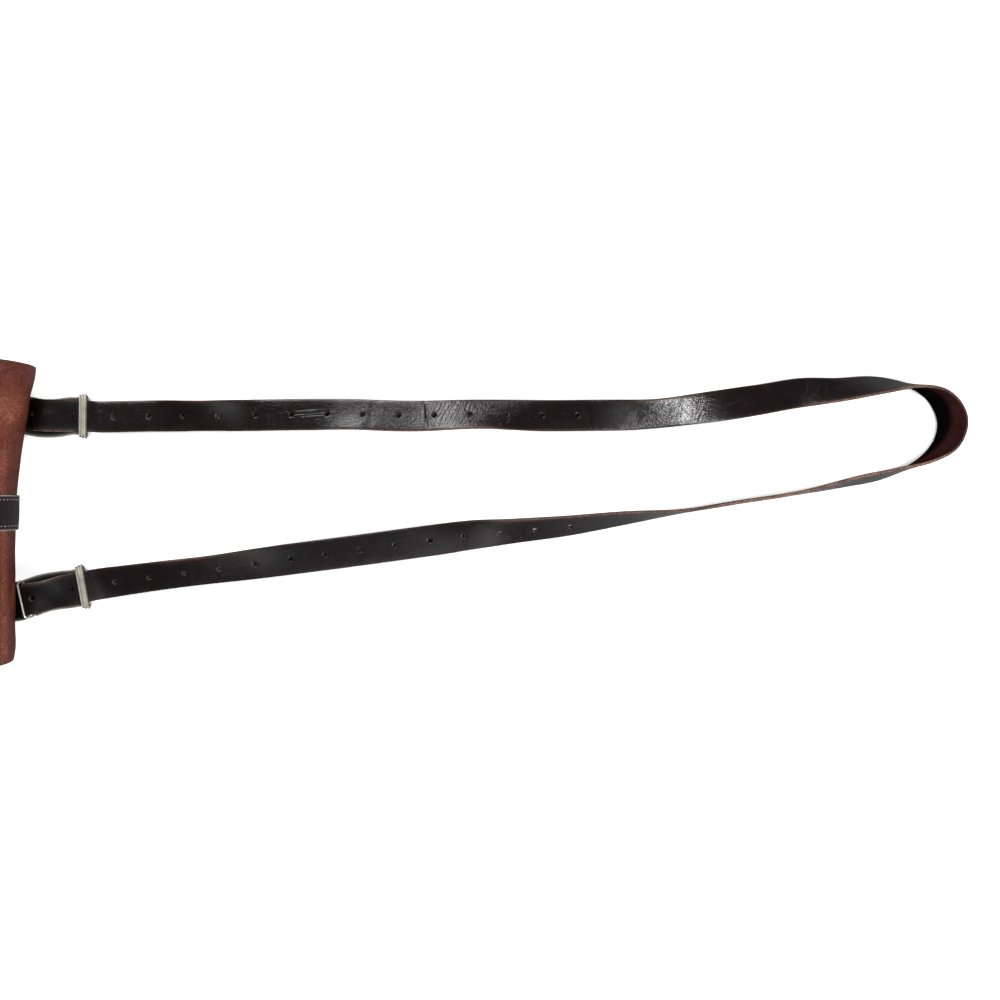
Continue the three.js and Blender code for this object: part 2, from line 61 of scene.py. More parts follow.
# The strap's lay from its upper tip, round the loop, to its lower tip: x, y, lift and roll in degrees.
STRAP_LAY = (
    (78, 80.8, 5.6, 0), (84, 80.6, 6.4, 0), (91, 80.2, 9.4, 0), (97, 79.8, 13.8, 0),
    (103, 79.4, 16.2, 0), (113, 79.0, 15.2, 0), (124, 79.4, 10.8, 0), (134, 79.8, 6.9, 0),
    (144, 79.3, 3.3, 0), (158, 79.7, 1.0, 0), (190, 80.3, 1.0, 0), (231, 80.0, 0.5, -22),
    (280, 80.9, 2.0, -1), (318, 81.4, 2.2, 0), (355, 81.4, 0.9, 7.6), (405, 80.1, 0.4, 6.8),
    (465, 81.3, 0.4, 18), (518, 80.5, 2.0, 0), (560, 80.8, 1.4, -3), (606, 81.4, 0.4, -27),
    (645, 86.1, 0.5, -18), (694, 93.3, 0.9, 10), (730, 99.3, 0.4, 17), (761, 101.4, 0.4, 38),
    (792, 104.9, 0.4, 52), (822, 103.9, 0.4, 81), (842, 95.2, 0.4, 103), (853, 76.5, 0.4, 117),
    (848, 57.0, 0.4, 111), (832, 43.2, 0.4, 94), (801, 31.9, 0.4, 76), (770, 25.4, 0.4, 75),
    (724, 15.6, 0.4, 86), (677, 8.3, 0.4, 88), (630, 0.7, 0.4, 85), (582, -5.1, 0.4, 66),
    (535, -11.4, 0.4, 51), (488, -16.0, 0.4, 38), (456, -19.1, 0.4, 20), (424, -23.6, 0.4, 5),
    (355, -33.0, 0.8, 0), (300, -40.1, 1.0, 3), (245, -47.3, 0.4, 24), (200, -52.6, 0.4, 23),
    (164, -57.4, 0.6, 15), (146, -60.0, 2.9, 3), (134, -62.1, 7.2, 0), (127, -63.4, 10.1, 0),
    (123, -64.3, 11.4, 4), (118, -65.5, 11.8, 15), (110, -67.4, 12.6, 27), (101.5, -69.5, 19.8, 10),
    (97, -70.5, 21.9, 0), (93.5, -71.3, 20.3, 0), (90.4, -72.0, 19.8, 0),
)


class Slot(Enum):
    """The finishes that the part's record names."""

    BROWN = "leather_brown"
    DARK = "leather_dark"
    NICKEL = "nickel"
    CHROME = "chrome"


def smoothstep(low: float, high: float, value: np.ndarray) -> np.ndarray:
    """Eases from 0 at low to 1 at high with the cubic 3 s^2 - 2 s^3.

    Args:
        low: Value that gives 0.
        high: Value that gives 1.
        value: Values to ease.

    Returns:
        The eased values.
    """
    share = np.clip((np.asarray(value, float) - low) / (high - low), 0.0, 1.0)
    return share * share * (3.0 - 2.0 * share)


def unit(vectors: np.ndarray) -> np.ndarray:
    """Vectors of length one along the last axis."""
    return vectors / np.maximum(np.linalg.norm(vectors, axis=-1, keepdims=True), 1e-12)


def bell(off: np.ndarray, width: float) -> np.ndarray:
    """Bell curve exp(-(off / width)^2): 1 in the middle."""
    return np.exp(-((off / width) ** 2))


def arc_lengths(points: np.ndarray) -> np.ndarray:
    """Distance along a polyline at each of its points, starting from 0."""
    return np.concatenate([[0.0], np.cumsum(np.linalg.norm(np.diff(points, axis=0), axis=1))])


def at_distances(points: np.ndarray, length: np.ndarray, places: np.ndarray) -> np.ndarray:
    """Rows of a line at given places, between the rows that lie at the given lengths."""
    return np.column_stack([np.interp(places, length, column) for column in points.T])


def grid_normals(grid: np.ndarray) -> np.ndarray:
    """Directions off a grid of points: its slope along rows crossed with its slope along columns."""
    return unit(np.cross(np.gradient(grid, axis=0), np.gradient(grid, axis=1)))


def resample(points: np.ndarray, step: float) -> np.ndarray:
    """Even points along a polyline.

    Args:
        points: Corners of the polyline, one per row.
        step: Wanted distance between points.

    Returns:
        The points, with both ends kept.
    """
    length = arc_lengths(points)
    places = np.linspace(0.0, length[-1], max(2, round(length[-1] / step) + 1))
    return at_distances(points, length, places)


def rounded_half(half: float, radius: float, from_end: np.ndarray) -> np.ndarray:
    """Half the width of a sheet near an end with rounded corners: a quarter circle, then straight.

    Args:
        half: Half width away from the corners.
        radius: Radius of the corners.
        from_end: Distance of each row from that end.

    Returns:
        Half the width at each row.
    """
    inset = np.maximum(radius - np.asarray(from_end, float), 0.0)
    return half - radius + np.sqrt(np.maximum(radius**2 - inset**2, 0.0))


def corner_rows(start: float, radius: float, count: int) -> np.ndarray:
    """Rows from an end over its rounded corners, evenly spaced round the quarter circle."""
    return start + radius * (1.0 - np.cos(np.linspace(0.0, np.pi / 2, count)))


def spans(points: np.ndarray, t: np.ndarray) -> tuple[np.ndarray, ...]:
    """The four control points round each parameter, with both ends reflected, and the place between.

    Args:
        points: Control points, one per row.
        t: Parameters from 0 to 1 over all spans.

    Returns:
        Control points before, at, after and beyond each parameter, and its share of the span.
    """
    last = len(points) - 1
    whole = np.vstack([2 * points[0] - points[1], points, 2 * points[-1] - points[-2]])
    place = np.clip(t, 0.0, 1.0) * last
    first = np.minimum(place.astype(int), last - 1)
    return (*(whole[first + k] for k in range(4)), (place - first)[:, None])


def hermite(p1: np.ndarray, p2: np.ndarray, m1: np.ndarray, m2: np.ndarray, w: np.ndarray) -> np.ndarray:
    """Cubic from p1 to p2 with slopes m1 and m2 at share w."""
    w2, w3 = w * w, w**3
    return (2 * w3 - 3 * w2 + 1) * p1 + (w3 - 2 * w2 + w) * m1 + (3 * w2 - 2 * w3) * p2 + (w3 - w2) * m2


def smooth_line(points: np.ndarray, t: np.ndarray) -> np.ndarray:
    """Centripetal Catmull-Rom line: a cubic per span, knots spaced by the root of each span's length.

    Args:
        points: Control points, one per row.
        t: Parameters from 0 to 1.

    Returns:
        One point per parameter.
    """
    p0, p1, p2, p3, w = spans(points, t)
    pairs = ((p0, p1), (p1, p2), (p2, p3))
    d0, d1, d2 = (np.sqrt(np.linalg.norm(b - a, axis=1))[:, None] for a, b in pairs)
    m1 = d1 * ((p1 - p0) / d0 - (p2 - p0) / (d0 + d1) + (p2 - p1) / d1)
    m2 = d1 * ((p2 - p1) / d1 - (p3 - p1) / (d1 + d2) + (p3 - p2) / d2)
    return hermite(p1, p2, m1, m2, w)


def even_line(points: np.ndarray, t: np.ndarray) -> np.ndarray:
    """Catmull-Rom line with even knots: slopes are half the way between the neighbours."""
    p0, p1, p2, p3, w = spans(points, t)
    return hermite(p1, p2, (p2 - p0) / 2, (p3 - p1) / 2, w)


def waves(u: np.ndarray, v: np.ndarray, length: float, seed: int) -> np.ndarray:
    """Slow uneven waves: the mean of nine sine waves of random direction, length and phase.

    Args:
        u: Distance along the leather.
        v: Distance across it.
        length: Shortest wave length.
        seed: Seed of the random draws.

    Returns:
        Heights of about -1 to 1.
    """
    draw = np.random.default_rng(seed)
    turn, phase = draw.uniform(0, 2 * np.pi, (2, 9))
    pace = 2 * np.pi / (length * draw.uniform(1.0, 2.6, 9))
    swing = (u[..., None] * np.cos(turn) + v[..., None] * np.sin(turn)) * pace + phase
    return np.sin(swing).sum(-1) / 3.0


def grid_quads(
    rows: int, columns: int, close_rows: bool = False, close_columns: bool = False,
) -> np.ndarray:
    """Faces of a grid of points that is numbered row by row.

    Args:
        rows: Number of rows.
        columns: Number of columns.
        close_rows: Joins the last row to the first.
        close_columns: Joins the last column to the first.

    Returns:
        Point numbers with shape (row cells, column cells, 4).
    """
    r = np.arange(rows if close_rows else rows - 1)[:, None]
    c = np.arange(columns if close_columns else columns - 1)[None, :]
    r2, c2 = (r + 1) % rows, (c + 1) % columns
    return np.stack([r * columns + c, r2 * columns + c, r2 * columns + c2, r * columns + c2], axis=-1)


@dataclass
class Surface:
    """A closed surface with what its material reads at each point.

    flat is where the point lies on the cut leather (along, across, through) in millimetres.
    tone holds the masks of cut edge, nearness to an edge, and flesh side.
    crease holds the masks of creases along (tinted pale as a painted glint), creases on a slant, and scuffs
    together with painted light: a painted highlight along the bag's fold crest and the lit and shaded flesh
    side of the strap.
    raw is how far a cut edge has lost its dye, flexed how finely lined the face is from bending,
    and part the number of each face's material.
    """

    points: np.ndarray
    quads: np.ndarray
    flat: np.ndarray
    tone: np.ndarray | None = None
    crease: np.ndarray | None = None
    raw: np.ndarray | None = None
    flexed: np.ndarray | None = None
    part: np.ndarray | None = None
    caps: tuple[np.ndarray, ...] = ()

    def joined(self, other: "Surface") -> "Surface":
        """This surface and another as one.

        Args:
            other: The surface to add.

        Returns:
            The joined surface, without masks.
        """
        shift = len(self.points)
        return Surface(
            np.vstack([self.points, other.points]),
            np.vstack([self.quads.reshape(-1, 4), other.quads.reshape(-1, 4) + shift]),
            np.vstack([self.flat, other.flat]),
            caps=self.caps + tuple(cap + shift for cap in other.caps),
        )

    def outward(self) -> "Surface":
        """The surface with its faces turned outwards, by the sign of the volume that they enclose.

        Returns:
            The same surface.
        """
        quads = self.quads.reshape(-1, 4)
        a, b, c, d = (self.points[quads[:, k]] for k in range(4))
        volume = np.sum(a * np.cross(b, c)) + np.sum(a * np.cross(c, d))
        if volume < 0:
            self.quads = quads[:, ::-1]
            self.caps = tuple(cap[::-1] for cap in self.caps)
        return self

    def make(
        self, name: str, material: bpy.types.Material, slot: Slot, node: str | None,
        levels: int = 0, more: tuple[bpy.types.Material, ...] = (),
    ) -> Piece:
        """Writes the surface to a mesh object that rides on the bag.

        Args:
            name: Name of the new object.
            material: Its material.
            slot: The record's finish; not used.
            node: The solid that it stands for, if any.
            levels: Levels of subdivision.
            more: Materials of the faces that part numbers from 1 upwards.

        Returns:
            The new object.
        """
        quads = self.quads.reshape(-1, 4)
        corners = np.concatenate([quads.ravel(), *self.caps])
        sizes = np.concatenate([np.full(len(quads), 4), [len(cap) for cap in self.caps]]).astype(np.int32)
        starts = np.concatenate([[0], np.cumsum(sizes)[:-1]]).astype(np.int32)
        mesh = bpy.data.meshes.new(name)
        mesh.vertices.add(len(self.points))
        mesh.vertices.foreach_set("co", (self.points * MM).astype(np.float32).ravel())
        mesh.loops.add(len(corners))
        mesh.loops.foreach_set("vertex_index", corners.astype(np.int32))
        mesh.polygons.add(len(sizes))
        mesh.polygons.foreach_set("loop_start", starts)
        mesh.polygons.foreach_set("use_smooth", np.ones(len(sizes), bool))
        blank = np.zeros_like(self.points)
        for label, values in (("flat", self.flat), ("tone", self.tone), ("crease", self.crease)):
            layer = mesh.attributes.new(label, "FLOAT_VECTOR", "POINT")
            values = blank if values is None else values
            layer.data.foreach_set("vector", values.astype(np.float32).ravel())
        for label, values in (("raw", self.raw), ("flexed", self.flexed)):
            layer = mesh.attributes.new(label, "FLOAT", "POINT")
            values = blank[:, 0] + 1 if values is None else values
            layer.data.foreach_set("value", values.astype(np.float32))
        mesh.update(calc_edges=True)
        for finish in (material, *more):
            mesh.materials.append(finish)
        if self.part is not None:
            numbers = np.zeros(len(sizes), np.int32)
            numbers[: len(quads)] = self.part
            mesh.polygons.foreach_set("material_index", numbers)
        mesh.validate()
        piece = bpy.data.objects.new(name, mesh)
        bpy.context.scene.collection.objects.link(piece)
        if levels:
            smooth = piece.modifiers.new("smooth", "SUBSURF")
            smooth.levels = smooth.render_levels = levels
        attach(piece, ROOT)
        if node:
            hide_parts(node)
        LOG.info("%s: %d points, %d faces", name, len(self.points), len(sizes))
        return piece


def leather_sheet(
    grid: np.ndarray, thickness: float, outer: int = 1, reach: float = 0.5, rim: int = 6,
) -> Surface:
    """A sheet of leather: both faces stand half the thickness off the grid, joined by a rounded rim.

    The rim is a fuller half round: out = reach sin^0.7 and through = half the thickness times cos^0.7.
    Nearness to the border falls as exp(-distance / 5 mm).

    Args:
        grid: Points of the middle surface with shape (rows, columns, 3).
        thickness: Thickness of the leather.
        outer: 1 where the grain side is on the grid's normal side, -1 where it is on the other.
        reach: How far the rim stands out from the grid's border.
        rim: Steps round the rim.

    Returns:
        The closed surface, with its masks.
    """
    rows, columns = grid.shape[:2]
    normal = grid_normals(grid)
    r, c = np.divmod(np.arange(rows * columns), columns)
    index = np.arange(rows * columns).reshape(rows, columns)
    loop = np.concatenate([index[0, :-1], index[:-1, -1], index[-1, :0:-1], index[:0:-1, 0]])
    flat_grid, flat_normal = grid.reshape(-1, 3), normal.reshape(-1, 3)
    border = flat_grid[loop]
    inner = index[np.clip(r[loop], 1, rows - 2), np.clip(c[loop], 1, columns - 2)]
    out = unit(np.cross(np.roll(border, -1, 0) - np.roll(border, 1, 0), flat_normal[loop]))
    out *= np.sign(np.sum(out * (border - flat_grid[inner])))
    half = thickness / 2
    angle = np.linspace(0, np.pi, rim + 1)[1:-1, None, None]
    through = half * np.sign(np.cos(angle)) * np.abs(np.cos(angle)) ** RIM_FULLNESS
    ring = border + out * reach * np.sin(angle) ** RIM_FULLNESS + flat_normal[loop] * through
    stand = half * flat_normal
    points = np.vstack([flat_grid + stand, flat_grid - stand, ring.reshape(-1, 3)])

    count = rows * columns
    top = grid_quads(rows, columns).reshape(-1, 4)
    first = 2 * count + np.arange((rim - 1) * len(loop)).reshape(rim - 1, -1)
    rings = np.vstack([loop, first, loop + count])
    after = np.roll(rings, -1, axis=1)
    rim_quads = np.stack([rings[:-1], rings[1:], after[1:], after[:-1]], axis=-1).reshape(-1, 4)
    top_loop = np.stack([loop[0], loop[1]])
    same_way = np.any(np.all(top[:, [0, 1]] == top_loop, 1) | np.all(top[:, [3, 0]] == top_loop, 1))
    rim_quads = rim_quads if same_way else rim_quads[:, ::-1]

    u = arc_lengths(grid[:, columns // 2])
    v = arc_lengths(grid[rows // 2])
    v = v - v[-1] / 2
    near = np.exp(-np.minimum(np.minimum(u, u[-1] - u)[r], (v[-1] - np.abs(v))[c]) / BORDER_REACH)
    blank = np.zeros(count)
    ring_u, ring_v = np.tile(u[r[loop]], rim - 1), np.tile(v[c[loop]], rim - 1)
    ring_w = np.broadcast_to(through[:, :, 0], (rim - 1, len(loop))).ravel()
    flat = np.vstack([
        np.column_stack([u[r], v[c], blank + outer * half]),
        np.column_stack([u[r], v[c], blank - outer * half]),
        np.column_stack([ring_u, ring_v, outer * ring_w]),
    ])
    ring_blank = np.zeros(len(ring_u))
    tone = np.vstack([
        np.column_stack([blank, near, blank + (outer < 0)]),
        np.column_stack([blank, near, blank + (outer > 0)]),
        np.column_stack([ring_blank + 1, ring_blank + 1, ring_blank]),
    ])
    return Surface(points, np.vstack([top, top[:, ::-1] + count, rim_quads]), flat, tone).outward()


def carried_ring(path: np.ndarray, out: np.ndarray, side: np.ndarray, section: np.ndarray) -> Surface:
    """A closed profile carried round a closed path: path + out * height + side * place.

    Args:
        path: Points of the closed path.
        out: Outward direction at each path point.
        side: Direction of the profile's first axis, the same all round.
        section: Profile as pairs of place along side and height along out, one for all or one per point.

    Returns:
        The closed tube.
    """
    section = np.broadcast_to(section, (len(path), *section.shape[-2:]))
    points = path[:, None] + out[:, None] * section[..., 1:2] + side * section[..., 0:1]
    length = np.broadcast_to(arc_lengths(path)[:, None], section.shape[:2])
    flat = np.stack([length, section[..., 0], section[..., 1]], axis=-1)
    quads = grid_quads(*section.shape[:2], True, True)
    return Surface(points.reshape(-1, 3), quads, flat.reshape(-1, 3)).outward()


def rounded_path(
    half_width: float, half_height: float, radius: float, steps: int, fill: int,
) -> tuple[np.ndarray, np.ndarray]:
    """A rounded rectangle in a frame's across and normal plane.

    Args:
        half_width: Half its size across.
        half_height: Half its size along the normal.
        radius: Radius of its corners.
        steps: Steps round each corner.
        fill: Extra points on each straight side.

    Returns:
        Points and outward directions, each as pairs of across and normal.
    """
    quarter = np.arange(4)[:, None]
    angle = (quarter + np.linspace(0, 1, steps + 1)) * np.pi / 2
    turn = np.stack([np.cos(angle), np.sin(angle)], axis=-1)
    corner = np.array([[1, 1], [-1, 1], [-1, -1], [1, -1]]) * [half_width - radius, half_height - radius]
    points = corner[:, None] + radius * turn
    share = np.linspace(0, 1, fill + 2)[1:-1, None]
    side = points[:, -1, None] + share * (np.roll(points, -1, 0)[:, 0] - points[:, -1])[:, None]
    side_out = np.broadcast_to(turn[:, -1, None], side.shape)
    path = np.concatenate([points, side], axis=1).reshape(-1, 2)
    return path, np.concatenate([turn, side_out], axis=1).reshape(-1, 2)


@dataclass
class Frames:
    """Places on the strap and their directions: along it, across it and off its grain side."""

    centre: np.ndarray
    along: np.ndarray
    across: np.ndarray
    normal: np.ndarray

    def at(self, along: np.ndarray, across: np.ndarray, normal: np.ndarray) -> np.ndarray:
        """Points at offsets along, across and off the grain side of one place."""
        place = self.centre + np.multiply.outer(along, self.along)
        return place + np.multiply.outer(across, self.across) + np.multiply.outer(normal, self.normal)


@dataclass
class StrapCourse:
    """The line that the strap's middle follows over the floor, and how far it is rolled over."""

    rows: np.ndarray = field(default_factory=lambda: np.array(STRAP_LAY, float))
    width: float = 26.0
    leather: float = 3.0
    samples: int = 8000
    slope_step: float = 1e-4
    upper_to: float = 0.497
    lower_from: float = 0.503
    search_steps: int = 2000

    def __post_init__(self) -> None:
        """Stands each row's centre half the rolled strap's height above its lift, and measures the line."""
        turn = np.radians(self.rows[:, 3])
        stand = (self.width * np.abs(np.sin(turn)) + self.leather * np.abs(np.cos(turn))) / 2
        self.centres = np.column_stack([self.rows[:, 0], self.rows[:, 1], self.rows[:, 2] + stand])
        self.places = np.linspace(0, 1, self.samples + 1)
        self.distances = arc_lengths(smooth_line(self.centres, self.places))
        self.length = float(self.distances[-1])

    def frames(self, distance: np.ndarray) -> Frames:
        """Frames at distances from the upper tip: across is UP x along, turned about along by the roll.

        Args:
            distance: Distances along the strap.

        Returns:
            One frame per distance.
        """
        t = np.interp(distance, self.distances, self.places)
        ahead, behind = np.minimum(t + self.slope_step, 1), np.maximum(t - self.slope_step, 0)
        along = unit(smooth_line(self.centres, ahead) - smooth_line(self.centres, behind))
        turn = np.radians(even_line(self.rows[:, 3:4], t))
        level = unit(np.cross(UP, along))
        across = level * np.cos(turn) - np.cross(along, level) * np.sin(turn)
        return Frames(smooth_line(self.centres, t), along, across, np.cross(along, across))

    def fitting(self, distance: float, turned: bool, inward: float = 0.0) -> Frames:
        """The frame of a fitting round the strap and the chape under it.

        Args:
            distance: Distance from the upper tip.
            turned: True at the lower end, where the strap runs towards the bag.
            inward: Shift across the strap.

        Returns:
            One frame, moved down to the joint between strap and chape.
        """
        one = self.frames(np.array([distance]))
        way = -1.0 if turned else 1.0
        along, across, normal = way * one.along[0], way * one.across[0], one.normal[0]
        centre = one.centre[0] - normal * (self.leather + GAP) / 2 + across * inward
        return Frames(centre, along, across, normal)

    def distance_at(self, x: float, lower: bool = False) -> float:
        """Distance from the upper tip where the upper run, or the lower one, passes x.

        Args:
            x: Place on X.
            lower: True for the lower run.

        Returns:
            That distance.
        """
        far = self.length * (self.lower_from if lower else self.upper_to)
        places = np.linspace(self.length if lower else 0.0, far, self.search_steps)
        return float(np.interp(x, self.frames(places).centre[:, 0], places))


class Graph:
    """Adds nodes to a node tree and links them."""

    def __init__(self, tree: bpy.types.NodeTree) -> None:
        """Keeps the tree that nodes are added to."""
        self.tree = tree

    @property
    def shader(self) -> bpy.types.Node:
        """The shader of the material whose tree this is."""
        return self.tree.nodes["Principled BSDF"]

    def node(self, kind: str, inputs: dict | None = None, **settings: object) -> bpy.types.Node:
        """Adds one node.

        Args:
            kind: The node's type.
            inputs: Values or sockets for its inputs, by name or number.
            settings: Its other properties.

        Returns:
            The new node.
        """
        made = self.tree.nodes.new(kind)
        for key, value in settings.items():
            setattr(made, key, value)
        for key, value in (inputs or {}).items():
            if isinstance(value, Socket):
                self.tree.links.new(value, made.inputs[key])
            else:
                made.inputs[key].default_value = value
        return made

    def math(self, operation: str, a: object, b: object = 0.0, clamp: bool = False) -> Socket:
        """One sum of two values."""
        return self.node("ShaderNodeMath", {0: a, 1: b}, operation=operation, use_clamp=clamp).outputs[0]

    def times(self, a: object, b: object, clamp: bool = False) -> Socket:
        """The product of a and b."""
        return self.math("MULTIPLY", a, b, clamp)

    def plus(self, a: object, b: object, clamp: bool = False) -> Socket:
        """The sum of a and b."""
        return self.math("ADD", a, b, clamp)

    def minus(self, a: object, b: object) -> Socket:
        """What is left of a without b."""
        return self.math("SUBTRACT", a, b)

    def larger(self, a: object, b: object) -> Socket:
        """The larger of a and b."""
        return self.math("MAXIMUM", a, b)

    def mix(self, share: object, a: object, b: object) -> Socket:
        """A colour between a and b."""
        a, b = ((*value, 1.0) if isinstance(value, tuple) else value for value in (a, b))
        return self.node("ShaderNodeMix", {0: share, 6: a, 7: b}, data_type="RGBA").outputs[2]

    def between(self, share: object, a: object, b: object) -> Socket:
        """A value between a and b."""
        return self.node("ShaderNodeMix", {0: share, 2: a, 3: b}, data_type="FLOAT").outputs[0]

    def ramp(
        self, value: object, low: object, high: object, start: object = 0.0, end: object = 1.0,
    ) -> Socket:
        """Eases a value from start at low to end at high."""
        sockets = {"Value": value, "From Min": low, "From Max": high, "To Min": start, "To Max": end}
        return self.node("ShaderNodeMapRange", sockets, interpolation_type="SMOOTHSTEP").outputs[0]

    def noise(
        self, vector: object, scale: object, detail: float = 3.0, rough: float = 0.5, twist: float = 0.0,
    ) -> Socket:
        """Cloudy noise from 0 to 1."""
        shape = {"Detail": detail, "Roughness": rough, "Distortion": twist}
        return self.node("ShaderNodeTexNoise", {"Vector": vector, "Scale": scale, **shape}).outputs[0]

    def drawn(self, vector: object, degrees: float, stretch: Vec3) -> Socket:
        """A vector whose patterns are turned about its third axis and drawn out along the turned axes."""
        sockets = {"Vector": vector, "Rotation": (0.0, 0.0, np.radians(degrees)), "Scale": stretch}
        return self.node("ShaderNodeMapping", sockets, vector_type="TEXTURE").outputs[0]

    def read(self, name: str) -> Socket:
        """The mesh's own vector of that name."""
        return self.node("ShaderNodeAttribute", attribute_name=name).outputs["Vector"]

    def read_value(self, name: str) -> Socket:
        """The mesh's own value of that name."""
        return self.node("ShaderNodeAttribute", attribute_name=name).outputs["Fac"]

    def split(self, vector: Socket) -> tuple[Socket, ...]:
        """The three values of a vector."""
        return tuple(self.node("ShaderNodeSeparateXYZ", {0: vector}).outputs)

    def use(self, effect: "Effect", vector: Socket, size: float) -> Socket:
        """Places a shared effect at a size in millimetres and gives its value."""
        sockets = {"Vector": vector, "Size": size}
        return self.node("ShaderNodeGroup", sockets, node_tree=effect.group()).outputs[0]

    def finish(self, colour: Socket, rough: Socket, height: Socket, depth: float = 1.0) -> None:
        """Links a material's shader.

        Args:
            colour: Its base colour.
            rough: Its roughness.
            height: Height of its relief.
            depth: Millimetres that a height of 1 stands for.
        """
        bump = self.node("ShaderNodeBump", {"Height": height, "Distance": depth * MM, "Strength": 1.0})
        self.tree.links.new(colour, self.shader.inputs["Base Color"])
        self.tree.links.new(rough, self.shader.inputs["Roughness"])
        self.tree.links.new(bump.outputs[0], self.shader.inputs["Normal"])


class Effect:
    """An effect that several finishes share, as a node group: a vector and a size in, a value out."""

    name: str
    output: str
    rate: float = 1.0

    def draw(self, g: Graph, vector: Socket, pace: Socket) -> Socket:
        """Adds the effect's nodes.

        Args:
            g: Graph of the group.
            vector: Place on the piece in millimetres.
            pace: The effect's rate over its size.

        Returns:
            The effect's value.
        """
        raise NotImplementedError

    def group(self) -> bpy.types.NodeTree:
        """The effect's node group, with its sockets and nodes when it is asked for first.

        Returns:
            The node group.
        """
        if self.name in bpy.data.node_groups:
            return bpy.data.node_groups[self.name]
        tree = bpy.data.node_groups.new(self.name, "ShaderNodeTree")
        tree.interface.new_socket("Vector", in_out="INPUT", socket_type="NodeSocketVector")
        tree.interface.new_socket("Size", in_out="INPUT", socket_type="NodeSocketFloat")
        tree.interface.new_socket(self.output, in_out="OUTPUT", socket_type="NodeSocketFloat")
        g = Graph(tree)
        enter, leave = g.node("NodeGroupInput"), g.node("NodeGroupOutput")
        pace = g.math("DIVIDE", self.rate, enter.outputs["Size"])
        tree.links.new(self.draw(g, enter.outputs["Vector"], pace), leave.inputs[0])
        return tree


class PebbledGrain(Effect):
    """Grain of flat-topped cells parted by furrows, with finer pores between them."""

    name = "leather_grain"
    output = "Height"

    def draw(self, g: Graph, vector: Socket, pace: Socket) -> Socket:
        """Cells and pores in fixed shares, shallower where a slow noise is low.

        Args:
            g: Graph of the group.
            vector: Place on the piece.
            pace: The effect's rate over its size.

        Returns:
            The grain's height.
        """
        wobble = g.noise(vector, g.times(pace, 0.4), detail=2.0)
        sockets = {"Vector": vector, "Scale": pace, "Randomness": 1.0}
        cells = g.node("ShaderNodeTexVoronoi", sockets, feature="DISTANCE_TO_EDGE").outputs["Distance"]
        pores = g.noise(vector, g.times(pace, 2.3), detail=4.0, rough=0.62)
        height = g.plus(g.times(g.ramp(cells, 0.0, 0.3), 0.55), g.times(pores, 0.45))
        return g.times(height, g.ramp(wobble, 0.2, 0.7, 0.5, 1.0))


class Wrinkles(Effect):
    """Thin winding lines where a cloudy noise passes its middle value."""

    name = "leather_furrows"
    output = "Furrow"

    def draw(self, g: Graph, vector: Socket, pace: Socket) -> Socket:
        """Lines of the noise, only where a slower noise is high.

        Args:
            g: Graph of the group.
            vector: Place on the piece.
            pace: The effect's rate over its size.

        Returns:
            1 in a line, 0 beside it.
        """
        cloud = g.noise(vector, pace, detail=3.0, rough=0.5, twist=0.6)
        line = g.ramp(g.math("ABSOLUTE", g.minus(cloud, 0.5)), 0.0, 0.07, 1.0, 0.0)
        where = g.noise(vector, g.times(pace, 0.31), detail=2.0)
        return g.times(line, g.ramp(where, 0.35, 0.65))


class CreaseLines(Effect):
    """Creases side by side: the peaks of a wavering sine wave, broken up by a cloudy noise."""

    name = "crease_lines"
    output = "Line"
    rate = 0.314

    def draw(self, g: Graph, vector: Socket, pace: Socket) -> Socket:
        """The wave's peaks times the noise's high places.

        Args:
            g: Graph of the group.
            vector: Place on the piece.
            pace: The effect's rate over its size.

        Returns:
            1 on a crease, 0 beside it.
        """
        sockets = {"Vector": vector, "Scale": pace, "Distortion": 5.0, "Detail": 2.0, "Detail Scale": 1.6}
        wave = g.node("ShaderNodeTexWave", sockets, bands_direction="Y").outputs["Fac"]
        gaps = g.noise(vector, g.times(pace, 2.6), detail=2.0)
        return g.times(g.ramp(wave, 0.35, 1.0), g.ramp(gaps, 0.30, 0.50))


class DyeMottle(Effect):
    """Uneven dye: broad clouds with finer blotches in them."""

    name = "dye_mottle"
    output = "Tone"

    def draw(self, g: Graph, vector: Socket, pace: Socket) -> Socket:
        """Two noises in fixed shares, with more contrast.

        Args:
            g: Graph of the group.
            vector: Place on the piece.
            pace: The effect's rate over its size.

        Returns:
            Tone of the dye from 0 to 1.
        """
        broad = g.noise(vector, pace, detail=4.0, rough=0.55, twist=0.3)
        fine = g.noise(vector, g.times(pace, 6.5), detail=4.0, rough=0.6)
        return g.ramp(g.plus(g.times(broad, 0.62), g.times(fine, 0.38)), 0.34, 0.66)


class FineScratches(Effect):
    """Scratches in three directions: noises drawn out into thin streaks, where they peak."""

    name = "fine_scratches"
    output = "Scratch"
    directions = ((18.0, 0.4), (-38.0, 0.2), (76.0, 0.6))
    thinness = (1.0, 0.0625, 1.0)

    def draw(self, g: Graph, vector: Socket, pace: Socket) -> Socket:
        """The largest of the streaks, which each have a turn in degrees and a twist of their own.

        Args:
            g: Graph of the group.
            vector: Place on the piece.
            pace: The effect's rate over its size.

        Returns:
            1 in a scratch, 0 beside it.
        """
        total = 0.0
        for degrees, twist in self.directions:
            streak = g.noise(g.drawn(vector, degrees, self.thinness), pace, detail=2.0, twist=twist)
            total = g.larger(g.ramp(streak, 0.59, 0.71), total)
        return total


GRAIN = PebbledGrain()
WRINKLES = Wrinkles()
CREASES = CreaseLines()
MOTTLE = DyeMottle()
SCRATCHES = FineScratches()


